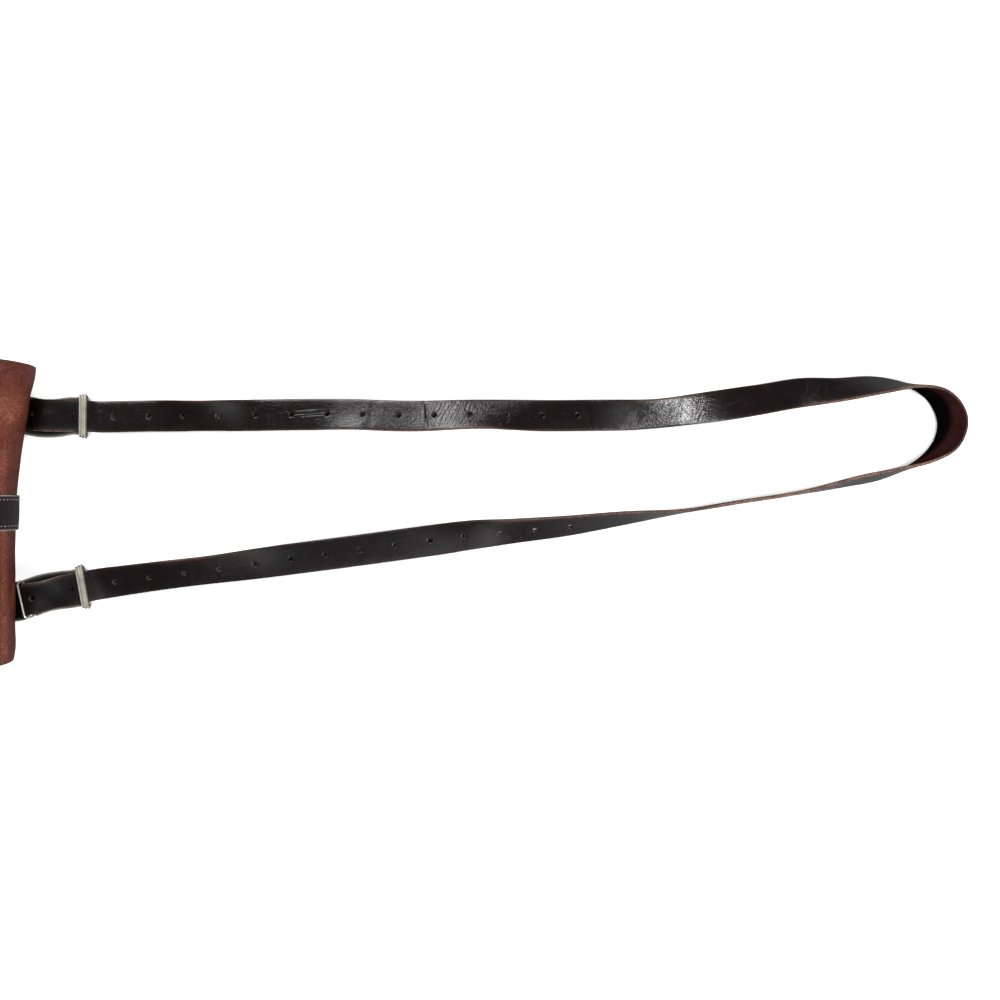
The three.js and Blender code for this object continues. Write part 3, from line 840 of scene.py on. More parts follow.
class Finish:
    """A finish that becomes a material once."""

    name: str

    def dress(self, g: Graph) -> None:
        """Adds the finish's nodes to its material.

        Args:
            g: Graph of the material.
        """
        raise NotImplementedError

    def material(self) -> bpy.types.Material:
        """The finish as a material, which is made when it is asked for first.

        Returns:
            The material.
        """
        if self.name not in bpy.data.materials:
            made = bpy.data.materials.new(self.name)
            made.use_nodes = True
            self.dress(Graph(made.node_tree))
        return bpy.data.materials[self.name]


@dataclass(frozen=True)
class LeatherFinish(Finish):
    """A leather: dyed grain side, cut edges and flesh side. Colours are linear, sizes millimetres."""

    name: str
    face_low: Colour
    face_high: Colour
    worn: Colour
    rim: Colour
    edge_low: Colour
    edge_high: Colour
    flesh_low: Colour
    flesh_high: Colour
    mottle_size: float = 22.0
    mottle: float = 1.0
    grain_size: float = 1.3
    grain_depth: float = 0.05
    furrow_size: float = 9.0
    furrow_depth: float = 0.10
    flex_size: float = 1.7
    flex_depth: float = 0.03
    crease_depth: float = 0.28
    rough_low: float = 0.30
    rough_high: float = 0.46
    scratch_size: float = 26.0
    scratch_share: float = 0.35
    speckle: float = 0.15
    # Share of painted glints: grain tops lightened towards the worn colour.
    grain_glint: float = 0.0
    rub: float = 0.6
    gloss: float = 0.5
    border_fall: float = 3.0
    furrow_stain: float = 0.35
    # Share of the painted glint that tints creases along pale.
    crease_glint: float = 0.32
    rim_wear: float = 0.45
    mark_rough: float = 0.14
    mark_depth: float = 0.03
    flesh_rough: float = 0.82
    edge_rough: float = 0.72
    fibre_depth: float = 0.22

    def dress(self, g: Graph) -> None:
        """Adds colour, roughness and relief.

        The colour runs from mottled dye over scratches, worn borders and painted highlights (glints on the
        grain and on the creases along, and a highlight along the bag's fold crest) to the flesh side and
        the cut edge, and one height in millimetres sums grain, wrinkles, creases and fibres.

        Args:
            g: Graph of the material.
        """
        flat = g.read("flat")
        edge, near, flesh = g.split(g.read("tone"))
        # The third value is scuffs, and on the bag also a painted highlight along the fold's crest.
        lengthways, slanted, wear_and_painted_light = g.split(g.read("crease"))
        bare, flexed = g.read_value("raw"), g.read_value("flexed")
        edge = g.ramp(edge, 0.3, 0.8)

        clouds = g.use(MOTTLE, flat, self.mottle_size)
        tone = g.ramp(clouds, 0.0, 1.0, 0.5 - self.mottle / 2, 0.5 + self.mottle / 2)
        grain = g.use(GRAIN, flat, self.grain_size)
        furrow = g.use(WRINKLES, flat, self.furrow_size)
        scratch = g.use(SCRATCHES, flat, self.scratch_size)
        flex = g.use(WRINKLES, g.drawn(flat, 82.0, (3.3, 1.0, 1.0)), self.flex_size)
        long_crease = g.times(g.use(CREASES, g.drawn(flat, 3.0, (7.0, 1.0, 1.0)), 2.9), lengthways)
        slant_crease = g.times(g.use(CREASES, g.drawn(flat, 62.0, (3.5, 1.0, 1.0)), 3.2), slanted)
        fibre = g.noise(flat, 1.7, detail=4.0, rough=0.7)

        spots = g.ramp(g.noise(flat, 0.9, detail=4.0, rough=0.7), 0.42, 0.72)
        # Rubbed places and the marks built from them carry real wear, and on the bag the painted highlight
        # along the fold's crest.
        rub_and_highlight = g.times(wear_and_painted_light, g.ramp(spots, 0.0, 1.0, 0.10, 1.0))
        scratched = g.times(scratch, g.plus(wear_and_painted_light, self.scratch_share), clamp=True)
        marks = g.larger(scratched, g.times(rub_and_highlight, self.rub))

        pebble = g.times(g.minus(g.noise(flat, 0.75, rough=0.6), 0.5), self.speckle * 4.0)
        colour = g.mix(g.plus(tone, pebble, clamp=True), self.face_low, self.face_high)
        # Painted glints: the grain's tops are lightened towards the worn colour.
        colour = g.mix(g.times(g.ramp(grain, 0.42, 0.75), self.grain_glint), colour, self.worn)
        colour = g.mix(g.times(furrow, self.furrow_stain), colour, self.face_low)
        # Painted glint: creases along are tinted pale as if their ridges caught the light.
        colour = g.mix(g.times(long_crease, self.crease_glint), colour, self.worn)
        colour = g.mix(marks, colour, self.worn)
        border = g.times(g.math("POWER", near, self.border_fall), g.ramp(fibre, 0.3, 0.7, 0.35, 0.95))
        colour = g.mix(border, colour, g.mix(g.times(bare, self.rim_wear), self.rim, self.edge_high))
        inside = g.mix(g.noise(flat, 0.05, detail=5.0, rough=0.6), self.flesh_low, self.flesh_high)
        colour = g.mix(flesh, colour, inside)
        patches = g.ramp(g.noise(flat, 0.11, detail=4.0, rough=0.65), 0.3, 0.6, 0.35, 1.0)
        nicks = g.ramp(g.noise(flat, 0.62, rough=0.6), 0.36, 0.62, 0.30, 1.0)
        edge_tone = g.times(g.times(bare, patches), nicks)
        colour = g.mix(edge, colour, g.mix(edge_tone, self.edge_low, self.edge_high))

        rough = g.ramp(g.noise(flat, 0.5, rough=0.6), 0.3, 0.7, self.rough_low, self.rough_high)
        rough = g.plus(rough, g.times(marks, self.mark_rough))
        rough = g.between(flesh, rough, self.flesh_rough)
        rough = g.between(edge, rough, self.edge_rough)

        height = g.times(grain, self.grain_depth)
        height = g.minus(height, g.times(furrow, self.furrow_depth))
        height = g.minus(height, g.times(g.times(flex, flexed), self.flex_depth))
        height = g.plus(height, g.times(g.plus(long_crease, slant_crease), self.crease_depth))
        height = g.minus(height, g.times(marks, self.mark_depth))
        height = g.between(g.larger(flesh, edge), height, g.times(fibre, self.fibre_depth))
        g.shader.inputs["Specular IOR Level"].default_value = self.gloss
        g.finish(colour, rough, height)


@dataclass(frozen=True)
class FleshFinish(Finish):
    """The rough inner side of a strap: matt and fibrous, painted brown where light falls on it and near
    black where it lies in shade.
    """

    name: str
    low: Colour
    high: Colour
    patch: float = 60.0
    soil: float = 0.03
    fibre_depth: float = 0.25
    sheen: float = 0.0

    def dress(self, g: Graph) -> None:
        """Adds painted light, brown over the near-black shade, with a little random brown, over a relief of
        loose fibres.

        Args:
            g: Graph of the material.
        """
        flat = g.read("flat")
        tone = g.use(MOTTLE, flat, self.patch)
        fibre = g.noise(g.drawn(flat, 0.0, (2.0, 0.7, 1.0)), 1.5, detail=4.0, rough=0.7)
        # Painted light: the third crease value is 1 where light falls on the flesh side, 0 in its shade.
        lit_flesh = g.split(g.read("crease"))[2]
        share = g.plus(g.times(tone, self.soil), g.times(lit_flesh, g.ramp(tone, 0.0, 1.0, 0.6, 1.0)))
        share = g.times(share, g.ramp(fibre, 0.3, 0.7, 0.6, 1.0), clamp=True)
        rough = g.ramp(fibre, 0.2, 0.8, 0.78, 0.92)
        g.shader.inputs["Specular IOR Level"].default_value = self.sheen
        g.finish(g.mix(share, self.low, self.high), rough, fibre, self.fibre_depth)


@dataclass(frozen=True)
class MetalFinish(Finish):
    """A plated metal with fine scratches and a dull film in its hollows, also laid on as painted shade
    where its mask asks.
    """

    name: str
    bright: Colour
    dull: Colour
    rough_low: float
    rough_high: float
    cloud_size: float = 7.0
    film: float = 0.55
    scratch_size: float = 6.0
    scratch_rough: float = 0.1
    scratch_depth: float = 0.01
    pit_depth: float = 0.02

    def dress(self, g: Graph) -> None:
        """Adds plating with a cloudy film, small pits and hairline scratches.

        Args:
            g: Graph of the material.
        """
        flat = g.read("flat")
        scratch = g.use(SCRATCHES, flat, self.scratch_size)
        # The second tone value is the dull film in hollows, and on the slide's tooth and tongue painted
        # shade.
        film_and_shade = g.split(g.read("tone"))[1]
        film = g.larger(g.times(g.use(MOTTLE, flat, self.cloud_size), self.film), film_and_shade)
        rough = g.ramp(film, 0.0, 1.0, self.rough_low, self.rough_high)
        rough = g.plus(rough, g.times(scratch, self.scratch_rough))
        pits = g.noise(flat, 1.6, rough=0.6)
        height = g.minus(g.times(pits, self.pit_depth), g.times(scratch, self.scratch_depth))
        g.shader.inputs["Metallic"].default_value = 1.0
        g.finish(g.mix(film, self.bright, self.dull), rough, height)


@dataclass(frozen=True)
class ThreadFinish(Finish):
    """Waxed linen thread with a visible twist."""

    name: str = "linen_thread"
    low: Colour = (0.20, 0.18, 0.17)
    high: Colour = (0.58, 0.53, 0.49)
    twist: float = 0.9
    slant: float = 35.0
    strand_depth: float = 0.1

    def dress(self, g: Graph) -> None:
        """Adds strands that wind round the thread, soiled in places.

        Args:
            g: Graph of the material.
        """
        flat = g.read("flat")
        sockets = {"Vector": g.drawn(flat, self.slant, (1.0, 1.0, 1.0)), "Scale": self.twist}
        strands = g.node("ShaderNodeTexWave", sockets).outputs[1]
        soil = g.noise(flat, 0.12)
        share = g.times(g.ramp(soil, 0.3, 0.7, 0.35, 1.0), g.ramp(strands, 0.1, 0.9, 0.6, 1.0))
        rough = g.ramp(soil, 0.2, 0.8, 0.55, 0.75)
        g.finish(g.mix(share, self.low, self.high), rough, strands, self.strand_depth)


@dataclass(frozen=True)
class PaperFinish(Finish):
    """White paper that shows the camera more light than it throws back. Distances are millimetres.

    contact is how far a painted contact shadow reaches round what lies on the paper. Paper that lies under
    something within the cover distance, as under a hole of the strap, is painted near black as shade,
    beyond strap_from on X.
    """

    name: str = "white_paper"
    low: Colour = (0.89, 0.89, 0.89)
    high: Colour = (0.93, 0.93, 0.93)
    # Colour of the painted shade under the strap.
    painted_shade: Colour = (0.02, 0.02, 0.02)
    bounce: Colour = (0.32, 0.32, 0.32)
    glow: float = 0.9
    contact: float = 5.0
    contact_fall: float = 2.0
    cover: float = 22.0
    cover_range: tuple[float, float] = (0.28, 0.50)
    strap_from: tuple[float, float] = (144.0, 158.0)
    rough: float = 0.9
    sheen: float = 0.2

    def dress(self, g: Graph) -> None:
        """Adds the paper's two brightnesses, its painted contact shadow and the painted shade under the
        holes.

        Args:
            g: Graph of the material.
        """
        place = g.node("ShaderNodeTexCoord").outputs["Object"]
        seen = g.node("ShaderNodeLightPath").outputs["Is Camera Ray"]
        near = {"Distance": self.contact * MM}
        far = {"Distance": self.cover * MM}
        clear = g.node("ShaderNodeAmbientOcclusion", near, samples=6).outputs["AO"]
        sky = g.node("ShaderNodeAmbientOcclusion", far, samples=8).outputs["AO"]
        start, end = (x * MM for x in self.strap_from)
        beside_bag = g.ramp(g.split(place)[0], start, end, 1.0, 0.0)
        under_sky = g.larger(g.ramp(sky, *self.cover_range), beside_bag)
        # Painted shade: under the strap the paper turns near black instead of white.
        paper = g.mix(under_sky, self.painted_shade, g.mix(g.noise(place, 3.0), self.low, self.high))
        # The camera's glow fades near things on the paper: a painted contact shadow.
        glow = g.times(g.times(seen, under_sky), g.math("POWER", clear, self.contact_fall))
        shown = g.mix(glow, (0.0, 0.0, 0.0), (1.0, 1.0, 1.0))
        g.tree.links.new(g.mix(seen, self.bounce, paper), g.shader.inputs["Base Color"])
        g.tree.links.new(shown, g.shader.inputs["Emission Color"])
        g.shader.inputs["Emission Strength"].default_value = self.glow
        g.shader.inputs["Roughness"].default_value = self.rough
        g.shader.inputs["Specular IOR Level"].default_value = self.sheen


# The bag's worn colour also serves as painted highlight: along the fold's crest at full rub, and on the
# grain's tops.
BROWN_LEATHER = LeatherFinish(
    name="brown_bag_leather",
    face_low=(0.056, 0.0072, 0.0048), face_high=(0.214, 0.043, 0.0235), worn=(0.60, 0.215, 0.13),
    rim=(0.080, 0.016, 0.011), edge_low=(0.08, 0.022, 0.014), edge_high=(0.20, 0.07, 0.045),
    flesh_low=(0.13, 0.06, 0.035), flesh_high=(0.27, 0.14, 0.085),
    mottle_size=26.0, mottle=0.45, grain_size=1.5, grain_depth=0.15, furrow_size=5.5, furrow_depth=0.08,
    flex_size=3.0, flex_depth=0.03, rough_low=0.36, rough_high=0.48,
    scratch_size=15.0, scratch_share=0.03, speckle=0.75, grain_glint=0.06, rub=1.0, gloss=0.42, border_fall=1.1,
)
# The worn colour of the strap also tints its creases along as a painted glint.
STRAP_LEATHER = LeatherFinish(
    name="dark_strap_leather",
    face_low=(0.0036, 0.0022, 0.0027), face_high=(0.0068, 0.0042, 0.0049), worn=(0.090, 0.076, 0.074),
    rim=(0.016, 0.008, 0.008), edge_low=(0.016, 0.008, 0.007), edge_high=(0.27, 0.150, 0.105),
    flesh_low=(0.002, 0.0017, 0.0018), flesh_high=(0.018, 0.0065, 0.006),
    grain_size=2.0, grain_depth=0.125, furrow_size=6.0, furrow_depth=0.010, flex_size=2.2, flex_depth=0.09,
    rough_low=0.17, rough_high=0.23, scratch_share=0.02, gloss=0.45,
)
STRAP_END_LEATHER = replace(
    STRAP_LEATHER, name="dull_strap_end_leather", edge_high=(0.30, 0.24, 0.205),
    gloss=0.12, rough_low=0.45, rough_high=0.60)
# The strap's flesh side: near black as painted shade, brown where light falls.
STRAP_FLESH = FleshFinish("dark_strap_flesh", (0.0022, 0.0017, 0.0018), (0.046, 0.0145, 0.0140))
BAND_LEATHER = LeatherFinish(
    name="dark_band_leather",
    face_low=(0.0100, 0.0034, 0.0062), face_high=(0.0190, 0.0074, 0.0124), worn=(0.09, 0.08, 0.08),
    rim=(0.10, 0.083, 0.078), edge_low=(0.25, 0.21, 0.19), edge_high=(0.58, 0.52, 0.47),
    flesh_low=(0.03, 0.018, 0.013), flesh_high=(0.07, 0.04, 0.028),
    grain_size=1.1, grain_depth=0.022, furrow_size=6.0, furrow_depth=0.005,
    rough_low=0.27, rough_high=0.36, scratch_share=0.1, gloss=0.40, border_fall=14.0,
)
CHAPE_LEATHER = LeatherFinish(
    name="dark_chape_leather",
    face_low=(0.0036, 0.0024, 0.0027), face_high=(0.0066, 0.0044, 0.0048), worn=(0.08, 0.07, 0.065),
    rim=(0.30, 0.27, 0.25), edge_low=(0.42, 0.38, 0.355), edge_high=(0.82, 0.77, 0.72),
    flesh_low=(0.006, 0.0045, 0.0045), flesh_high=(0.02, 0.011, 0.009),
    grain_size=1.1, grain_depth=0.022, furrow_size=6.0, furrow_depth=0.012,
    rough_low=0.21, rough_high=0.27, scratch_share=0.03, gloss=0.45, border_fall=6.5,
)
NICKEL = MetalFinish("aged_nickel", (1.0, 0.985, 0.92), (0.32, 0.313, 0.245), 0.50, 0.56)
CHROME = MetalFinish("bright_chrome", (1.0, 1.0, 1.0), (0.86, 0.86, 0.86), 0.44, 0.52)
THREAD = ThreadFinish()
PAPER = PaperFinish()


@dataclass
class StitchRow:
    """Stitches in a line: small bent rods that sink into the leather at both ends."""

    pitch: float = 3.6
    fill: float = 0.80
    radius: float = 0.42
    crown: float = 0.75
    sink: float = 1.1
    around: int = 6
    steps: int = 7

    def surface(self, path: np.ndarray, normal: np.ndarray) -> Surface:
        """Stitches along a path that lies on the leather.

        A rod's centre rises as 0.75 - 1.1 u^2 radii over its length u from -1 to 1, and its radius
        falls as the fourth root of 1 - u^4 towards its ends.

        Args:
            path: Points of the path.
            normal: Direction off the leather at each path point.

        Returns:
            All the stitches as one surface.
        """
        length = arc_lengths(path)
        count = max(1, int(length[-1] / self.pitch))
        places = (np.arange(count) + 0.5) * length[-1] / count
        reach = self.fill * length[-1] / count / 2
        centre = at_distances(path, length, places)
        ahead = at_distances(path, length, places + reach)
        along = unit(ahead - at_distances(path, length, places - reach))
        up = at_distances(normal, length, places)
        up = unit(up - along * np.sum(up * along, axis=1, keepdims=True))
        across = np.cross(up, along)
        u = np.linspace(-1, 1, self.steps)
        angle = np.linspace(0, 2 * np.pi, self.around, endpoint=False)
        girth = self.radius * np.maximum(1 - u**4, 0.02) ** 0.25
        rise = self.radius * (self.crown - self.sink * u**2)
        x = np.broadcast_to((u * reach)[:, None], (self.steps, self.around))
        y = girth[:, None] * np.cos(angle)
        z = rise[:, None] + girth[:, None] * np.sin(angle)
        shape = np.stack([x, y, z], axis=-1).reshape(-1, 3)
        basis = np.stack([along, across, up], axis=1)
        points = centre[:, None] + np.einsum("pk,nkc->npc", shape, basis)
        one = grid_quads(self.steps, self.around, close_columns=True).reshape(-1, 4)
        first = np.arange(count) * len(shape)
        quads = (one[None] + first[:, None, None]).reshape(-1, 4)
        ring = np.arange(self.around)
        tail = ring + (self.steps - 1) * self.around
        caps = tuple(ring[::-1] + k for k in first) + tuple(tail + k for k in first)
        flat = shape + np.outer(places, [1.0, 0.0, 0.0])[:, None]
        return Surface(points.reshape(-1, 3), quads, flat.reshape(-1, 3), caps=caps).outward()

    def make(self, name: str, rows: list[tuple[np.ndarray, np.ndarray]], slot: Slot) -> Piece:
        """Writes rows of stitches as one object.

        Args:
            name: Name of the object.
            rows: Path and normals of each row.
            slot: The record's finish of the leather that they hold; not used.

        Returns:
            The new object.
        """
        whole = self.surface(*rows[0])
        for path, normal in rows[1:]:
            whole = whole.joined(self.surface(path, normal))
        return whole.make(name, THREAD.material(), slot, None)


@dataclass
class BagBody:
    """The brown leather of the bag: back, fold and flap in one sheet, the front and the gusset."""

    half_width: float = 119.5
    bottom_x: float = -98.0
    leather: float = 2.2
    corner: float = 28.0
    rest_end_x: float = 8.0
    seat_x: float = 28.0
    seat_z: float = 3.8
    fold_x: float = 54.0
    fold_z: float = 42.0
    fold_radius: float = 38.5
    flap_end_x: float = -45.0
    flap_end_z: float = 77.6
    flap_corner: float = 34.0
    front_z: float = 74.0
    front_top_x: float = 50.0
    front_half: float = 117.5
    front_dome: float = 1.2
    gusset_half: float = 114.5
    gusset_bottom_x: float = -94.5
    gusset_top_x: float = 52.0
    gusset_radius: float = 25.0
    gusset_leather: float = 2.0
    gusset_cave: float = 9.0
    gusset_seam: float = 1.05
    back_end_x: float = 45.0
    skew_reach: float = 17.2
    skew_at: float = 115.0
    skew_power: float = 1.45
    skew_side: float = 2.4
    low_draw: float = 0.6
    edge_draw: float = 1.4
    edge_from: float = 105.0
    front_sag: float = 0.35
    gusset_slack: float = 0.7
    slack_waves: tuple[Vec3, ...] = ((46, 7, 0.55), (17, 8, 0.22))
    rim: float = 0.5
    step: float = 2.6
    fold_steps: int = 60
    columns: int = 101
    scuff_at: tuple[float, float] = (9.0, 81.0)
    scuff_spread: tuple[float, float] = (17.0, 15.0)
    # A painted highlight along the fold's crest: where it lies from the crest, its width and its strength.
    crest_highlight: tuple[float, float] = (3.0, 9.5)
    crest_highlight_width: float = 4.5
    crest_highlight_strength: float = 0.75

    def back_z(self, x: np.ndarray) -> np.ndarray:
        """Height of the back's middle: flat on the floor, then raised on the chapes sewn under it."""
        return self.leather / 2 + self.seat_z * smoothstep(self.rest_end_x, self.seat_x, x)

    def fold_skew(self, y: np.ndarray) -> np.ndarray:
        """How far the fold reaches out at y: a power of y on the upper side, drawn in at both edges.

        Args:
            y: Places across the bag.

        Returns:
            Distances along X.
        """
        out = self.skew_reach * (np.maximum(y, 0) / self.skew_at) ** self.skew_power
        near = np.maximum(np.abs(y) - self.edge_from, 0) / (self.half_width - self.edge_from)
        return out - self.low_draw * smoothstep(0, 30, -y) - self.edge_draw * near**2

    def profile(self, back_x: np.ndarray, flap_x: np.ndarray, offset: float, fold_steps: int) -> np.ndarray:
        """The side view of back, fold and flap: two runs joined by half a circle.

        Args:
            back_x: Rows on the back.
            flap_x: Rows on the flap.
            offset: Distance out from the middle of the leather.
            fold_steps: Steps round the fold.

        Returns:
            Rows of x, z and the share of the fold's skew.
        """
        radius = self.fold_radius - self.leather / 2 + offset
        angle = np.linspace(-90, 90, fold_steps + 1)
        turn = np.radians(angle)
        share = (self.fold_x - flap_x) / (self.fold_x - self.flap_end_x)
        top = self.fold_z + radius
        drop = (top - offset - self.flap_end_z) * share**2
        back = np.column_stack([back_x, self.back_z(back_x) - offset, 0 * back_x])
        fold_x, fold_z = self.fold_x + radius * np.cos(turn), self.fold_z + radius * np.sin(turn)
        fold = np.column_stack([fold_x, fold_z, smoothstep(-75, -20, angle)])
        flap = np.column_stack([flap_x, top - drop, 1 - smoothstep(0, 1, share * 1.3)])
        return np.vstack([back, fold, flap])

    def grid(self, profile: np.ndarray, halves: np.ndarray, sides: np.ndarray) -> np.ndarray:
        """Points of a sheet that follows a profile: y from the half width, x moved by the fold's skew.

        Args:
            profile: Rows of x, z and share of skew.
            halves: Half width of each row.
            sides: Columns from -1 to 1.

        Returns:
            Points with shape (rows, columns, 3).
        """
        skew, half, side = profile[:, 2:3], halves[:, None], sides[None, :]
        y = side * half - half / self.half_width * self.skew_side * skew * np.maximum(side, 0) ** 2
        x = profile[:, 0:1] + skew * self.fold_skew(y)
        return np.stack([x, y, np.broadcast_to(profile[:, 1:2], y.shape)], axis=-1)

    def back_flap(self) -> Piece:
        """The sheet from the bottom of the back, over the fold, to the flap's rounded end.

        Returns:
            The sheet.
        """
        half = self.half_width - self.rim
        back_x = np.concatenate([
            corner_rows(self.bottom_x + self.rim, self.corner, 14),
            np.arange(self.bottom_x + self.corner + self.step, self.back_end_x, self.step),
        ])
        flap_x = np.concatenate([
            np.arange(self.fold_x - self.step, self.flap_end_x + self.flap_corner, -self.step),
            corner_rows(self.flap_end_x + self.rim, self.flap_corner, 16)[::-1],
        ])
        rows = self.profile(back_x, flap_x, 0.0, self.fold_steps)
        ends = np.concatenate([
            rounded_half(half, self.corner, back_x - self.bottom_x - self.rim),
            np.full(self.fold_steps + 1, half),
            rounded_half(half, self.flap_corner, flap_x - self.flap_end_x - self.rim),
        ])
        grid = self.grid(rows, ends, np.linspace(-1, 1, self.columns))
        sheet = leather_sheet(self.slackened(grid), self.leather, outer=-1)
        crest = arc_lengths(grid[:, self.columns // 2])[len(back_x) + self.fold_steps // 2]
        # The fold's third crease value: its worn corner and the painted highlight along its crest.
        wear_and_painted_light = self.scuffs(sheet.flat[:, 0] - crest, sheet.flat[:, 1])
        sheet.crease = np.column_stack([0 * wear_and_painted_light, 0 * wear_and_painted_light, wear_and_painted_light])
        return sheet.make("bag_back_and_flap", BROWN_LEATHER.material(), Slot.BROWN, "back_flap")

    def scuffs(self, up: np.ndarray, y: np.ndarray) -> np.ndarray:
        """How worn the fold is, with painted light: a bell curve round its worn corner, and a painted
        highlight along its crest.

        Args:
            up: Distance along the leather from the fold's crest.
            y: Distance across it.

        Returns:
            Wear, and the painted highlight along the crest, of 0 to 1.
        """
        off = (np.column_stack([up, y]) - self.scuff_at) / self.scuff_spread
        low, high = self.crest_highlight
        # The crest band is a painted highlight: the leather is lightened where light would catch the crest.
        crest = bell(up - low - (high - low) * smoothstep(-20, 20, y), self.crest_highlight_width)
        rub_and_highlight = crest * (1 - smoothstep(45, 65, y))
        return np.maximum(np.exp(-np.sum(off**2, axis=1)), self.crest_highlight_strength * rub_and_highlight)

    def slackened(self, grid: np.ndarray) -> np.ndarray:
        """The sheet with soft waves in it, still under the band, at its borders and on the floor.

        Each set of waves has a shortest length, a seed and a height.

        Args:
            grid: Points of the smooth sheet.

        Returns:
            The moved points.
        """
        u = arc_lengths(grid[:, grid.shape[1] // 2])[:, None] + 0 * grid[..., 1]
        v = grid[..., 1]
        free = smoothstep(17, 34, np.abs(v)) * smoothstep(0, 16, self.half_width - np.abs(v))
        free = free * smoothstep(6, 20, grid[..., 2]) * smoothstep(0, 25, u[-1, 0] - u)
        lift = sum(height * waves(u, v, length, seed) for length, seed, height in self.slack_waves)
        return grid + grid_normals(grid) * (free * lift)[..., None]

    def front_bulge(self, x: np.ndarray) -> np.ndarray:
        """Share of the front's dome at x: half a sine wave from its bottom to its top."""
        return np.sin(np.pi * np.clip((x - self.bottom_x) / (self.front_top_x - self.bottom_x), 0, 1))

    def front_panel(self) -> Piece:
        """The front under the flap: domed by a half sine along it and a parabola across it.

        Returns:
            The front.
        """
        half, corner = self.front_half - self.rim, self.corner - 1
        x = np.concatenate([
            corner_rows(self.bottom_x + self.rim, corner, 14),
            np.arange(self.bottom_x + corner + self.step, self.front_top_x - 1, self.step),
            [self.front_top_x - self.rim],
        ])
        ends = rounded_half(half, corner, x - self.bottom_x - self.rim)
        side = np.linspace(-1, 1, 91)
        bulge = self.front_bulge(x)[:, None]
        y = ends[:, None] * side
        z = self.front_z - self.leather / 2 + self.front_dome * bulge * (1 - side**2)
        sag = (1 + waves(x[:, None] + 0 * y, y, 30, 4)) / 2
        z = z - self.front_sag * bulge * smoothstep(36, 60, np.abs(y)) * sag
        grid = np.stack([np.broadcast_to(x[:, None], y.shape), y, z], axis=-1)
        return leather_sheet(grid, self.leather).make(
            "bag_front", BROWN_LEATHER.material(), Slot.BROWN, "front_panel")

    def gusset_line(self, inset: float = 0.0) -> np.ndarray:
        """The gusset's line in plan: both sides and the bottom, joined by quarter circles.

        Args:
            inset: Distance inside that line.

        Returns:
            Even points as rows of x and y.
        """
        half, radius = self.gusset_half - inset, self.gusset_radius - inset
        turn = np.linspace(0, np.pi / 2, 24)
        corner_x = self.gusset_bottom_x + inset + radius - radius * np.sin(turn)
        corner = np.column_stack([corner_x, half - radius + radius * np.cos(turn)])
        start, end = [self.gusset_top_x, half], [self.gusset_top_x, -half]
        line = np.vstack([start, corner, corner[::-1] * [1, -1], end])
        return resample(line, self.step)

    def gusset(self) -> Piece:
        """The strip round the bag, caved in by a half sine of its height towards its open ends.

        Returns:
            The gusset.
        """
        line = self.gusset_line()
        x, y = line[:, 0:1], line[:, 1:2]
        low = self.back_z(x) + self.leather / 2 + self.gusset_seam
        high = self.front_z - self.leather - self.gusset_seam
        share = np.linspace(0, 1, 33)[None, :]
        start = self.gusset_bottom_x + self.gusset_radius
        cave = self.gusset_cave * smoothstep(start, start + 50, x)
        length = arc_lengths(line)[:, None]
        slack = self.gusset_slack * waves(length + 0 * share, 66 * share + 0 * length, 26, 11)
        inward = (cave + slack) * np.sin(np.pi * share) * np.sign(y)
        inward = inward * smoothstep(self.gusset_bottom_x, start, x)
        z = low + share * (high - low)
        grid = np.stack([np.broadcast_to(x, z.shape), y - inward, z], axis=-1)
        return leather_sheet(grid, self.gusset_leather, reach=0.3).make(
            "bag_gusset", BROWN_LEATHER.material(), Slot.BROWN, "gusset")

    def seams(self) -> Piece:
        """Stitches through the front's border, over the gusset's edge.

        Returns:
            The stitches.
        """
        line = self.gusset_line(0.4)
        line = line[line[:, 0] < self.front_top_x - 2]
        side = np.abs(line[:, 1]) / self.front_half
        z = self.front_z + self.front_dome * self.front_bulge(line[:, 0]) * np.maximum(1 - side**2, 0)
        row = (np.column_stack([line, z]), np.tile(UP, (len(line), 1)))
        return StitchRow(pitch=4.2, radius=0.45).make("front_seam_stitches", [row], Slot.BROWN)

    def build(self) -> list[Piece]:
        """Makes all the brown pieces."""
        return [self.back_flap(), self.front_panel(), self.gusset(), self.seams()]


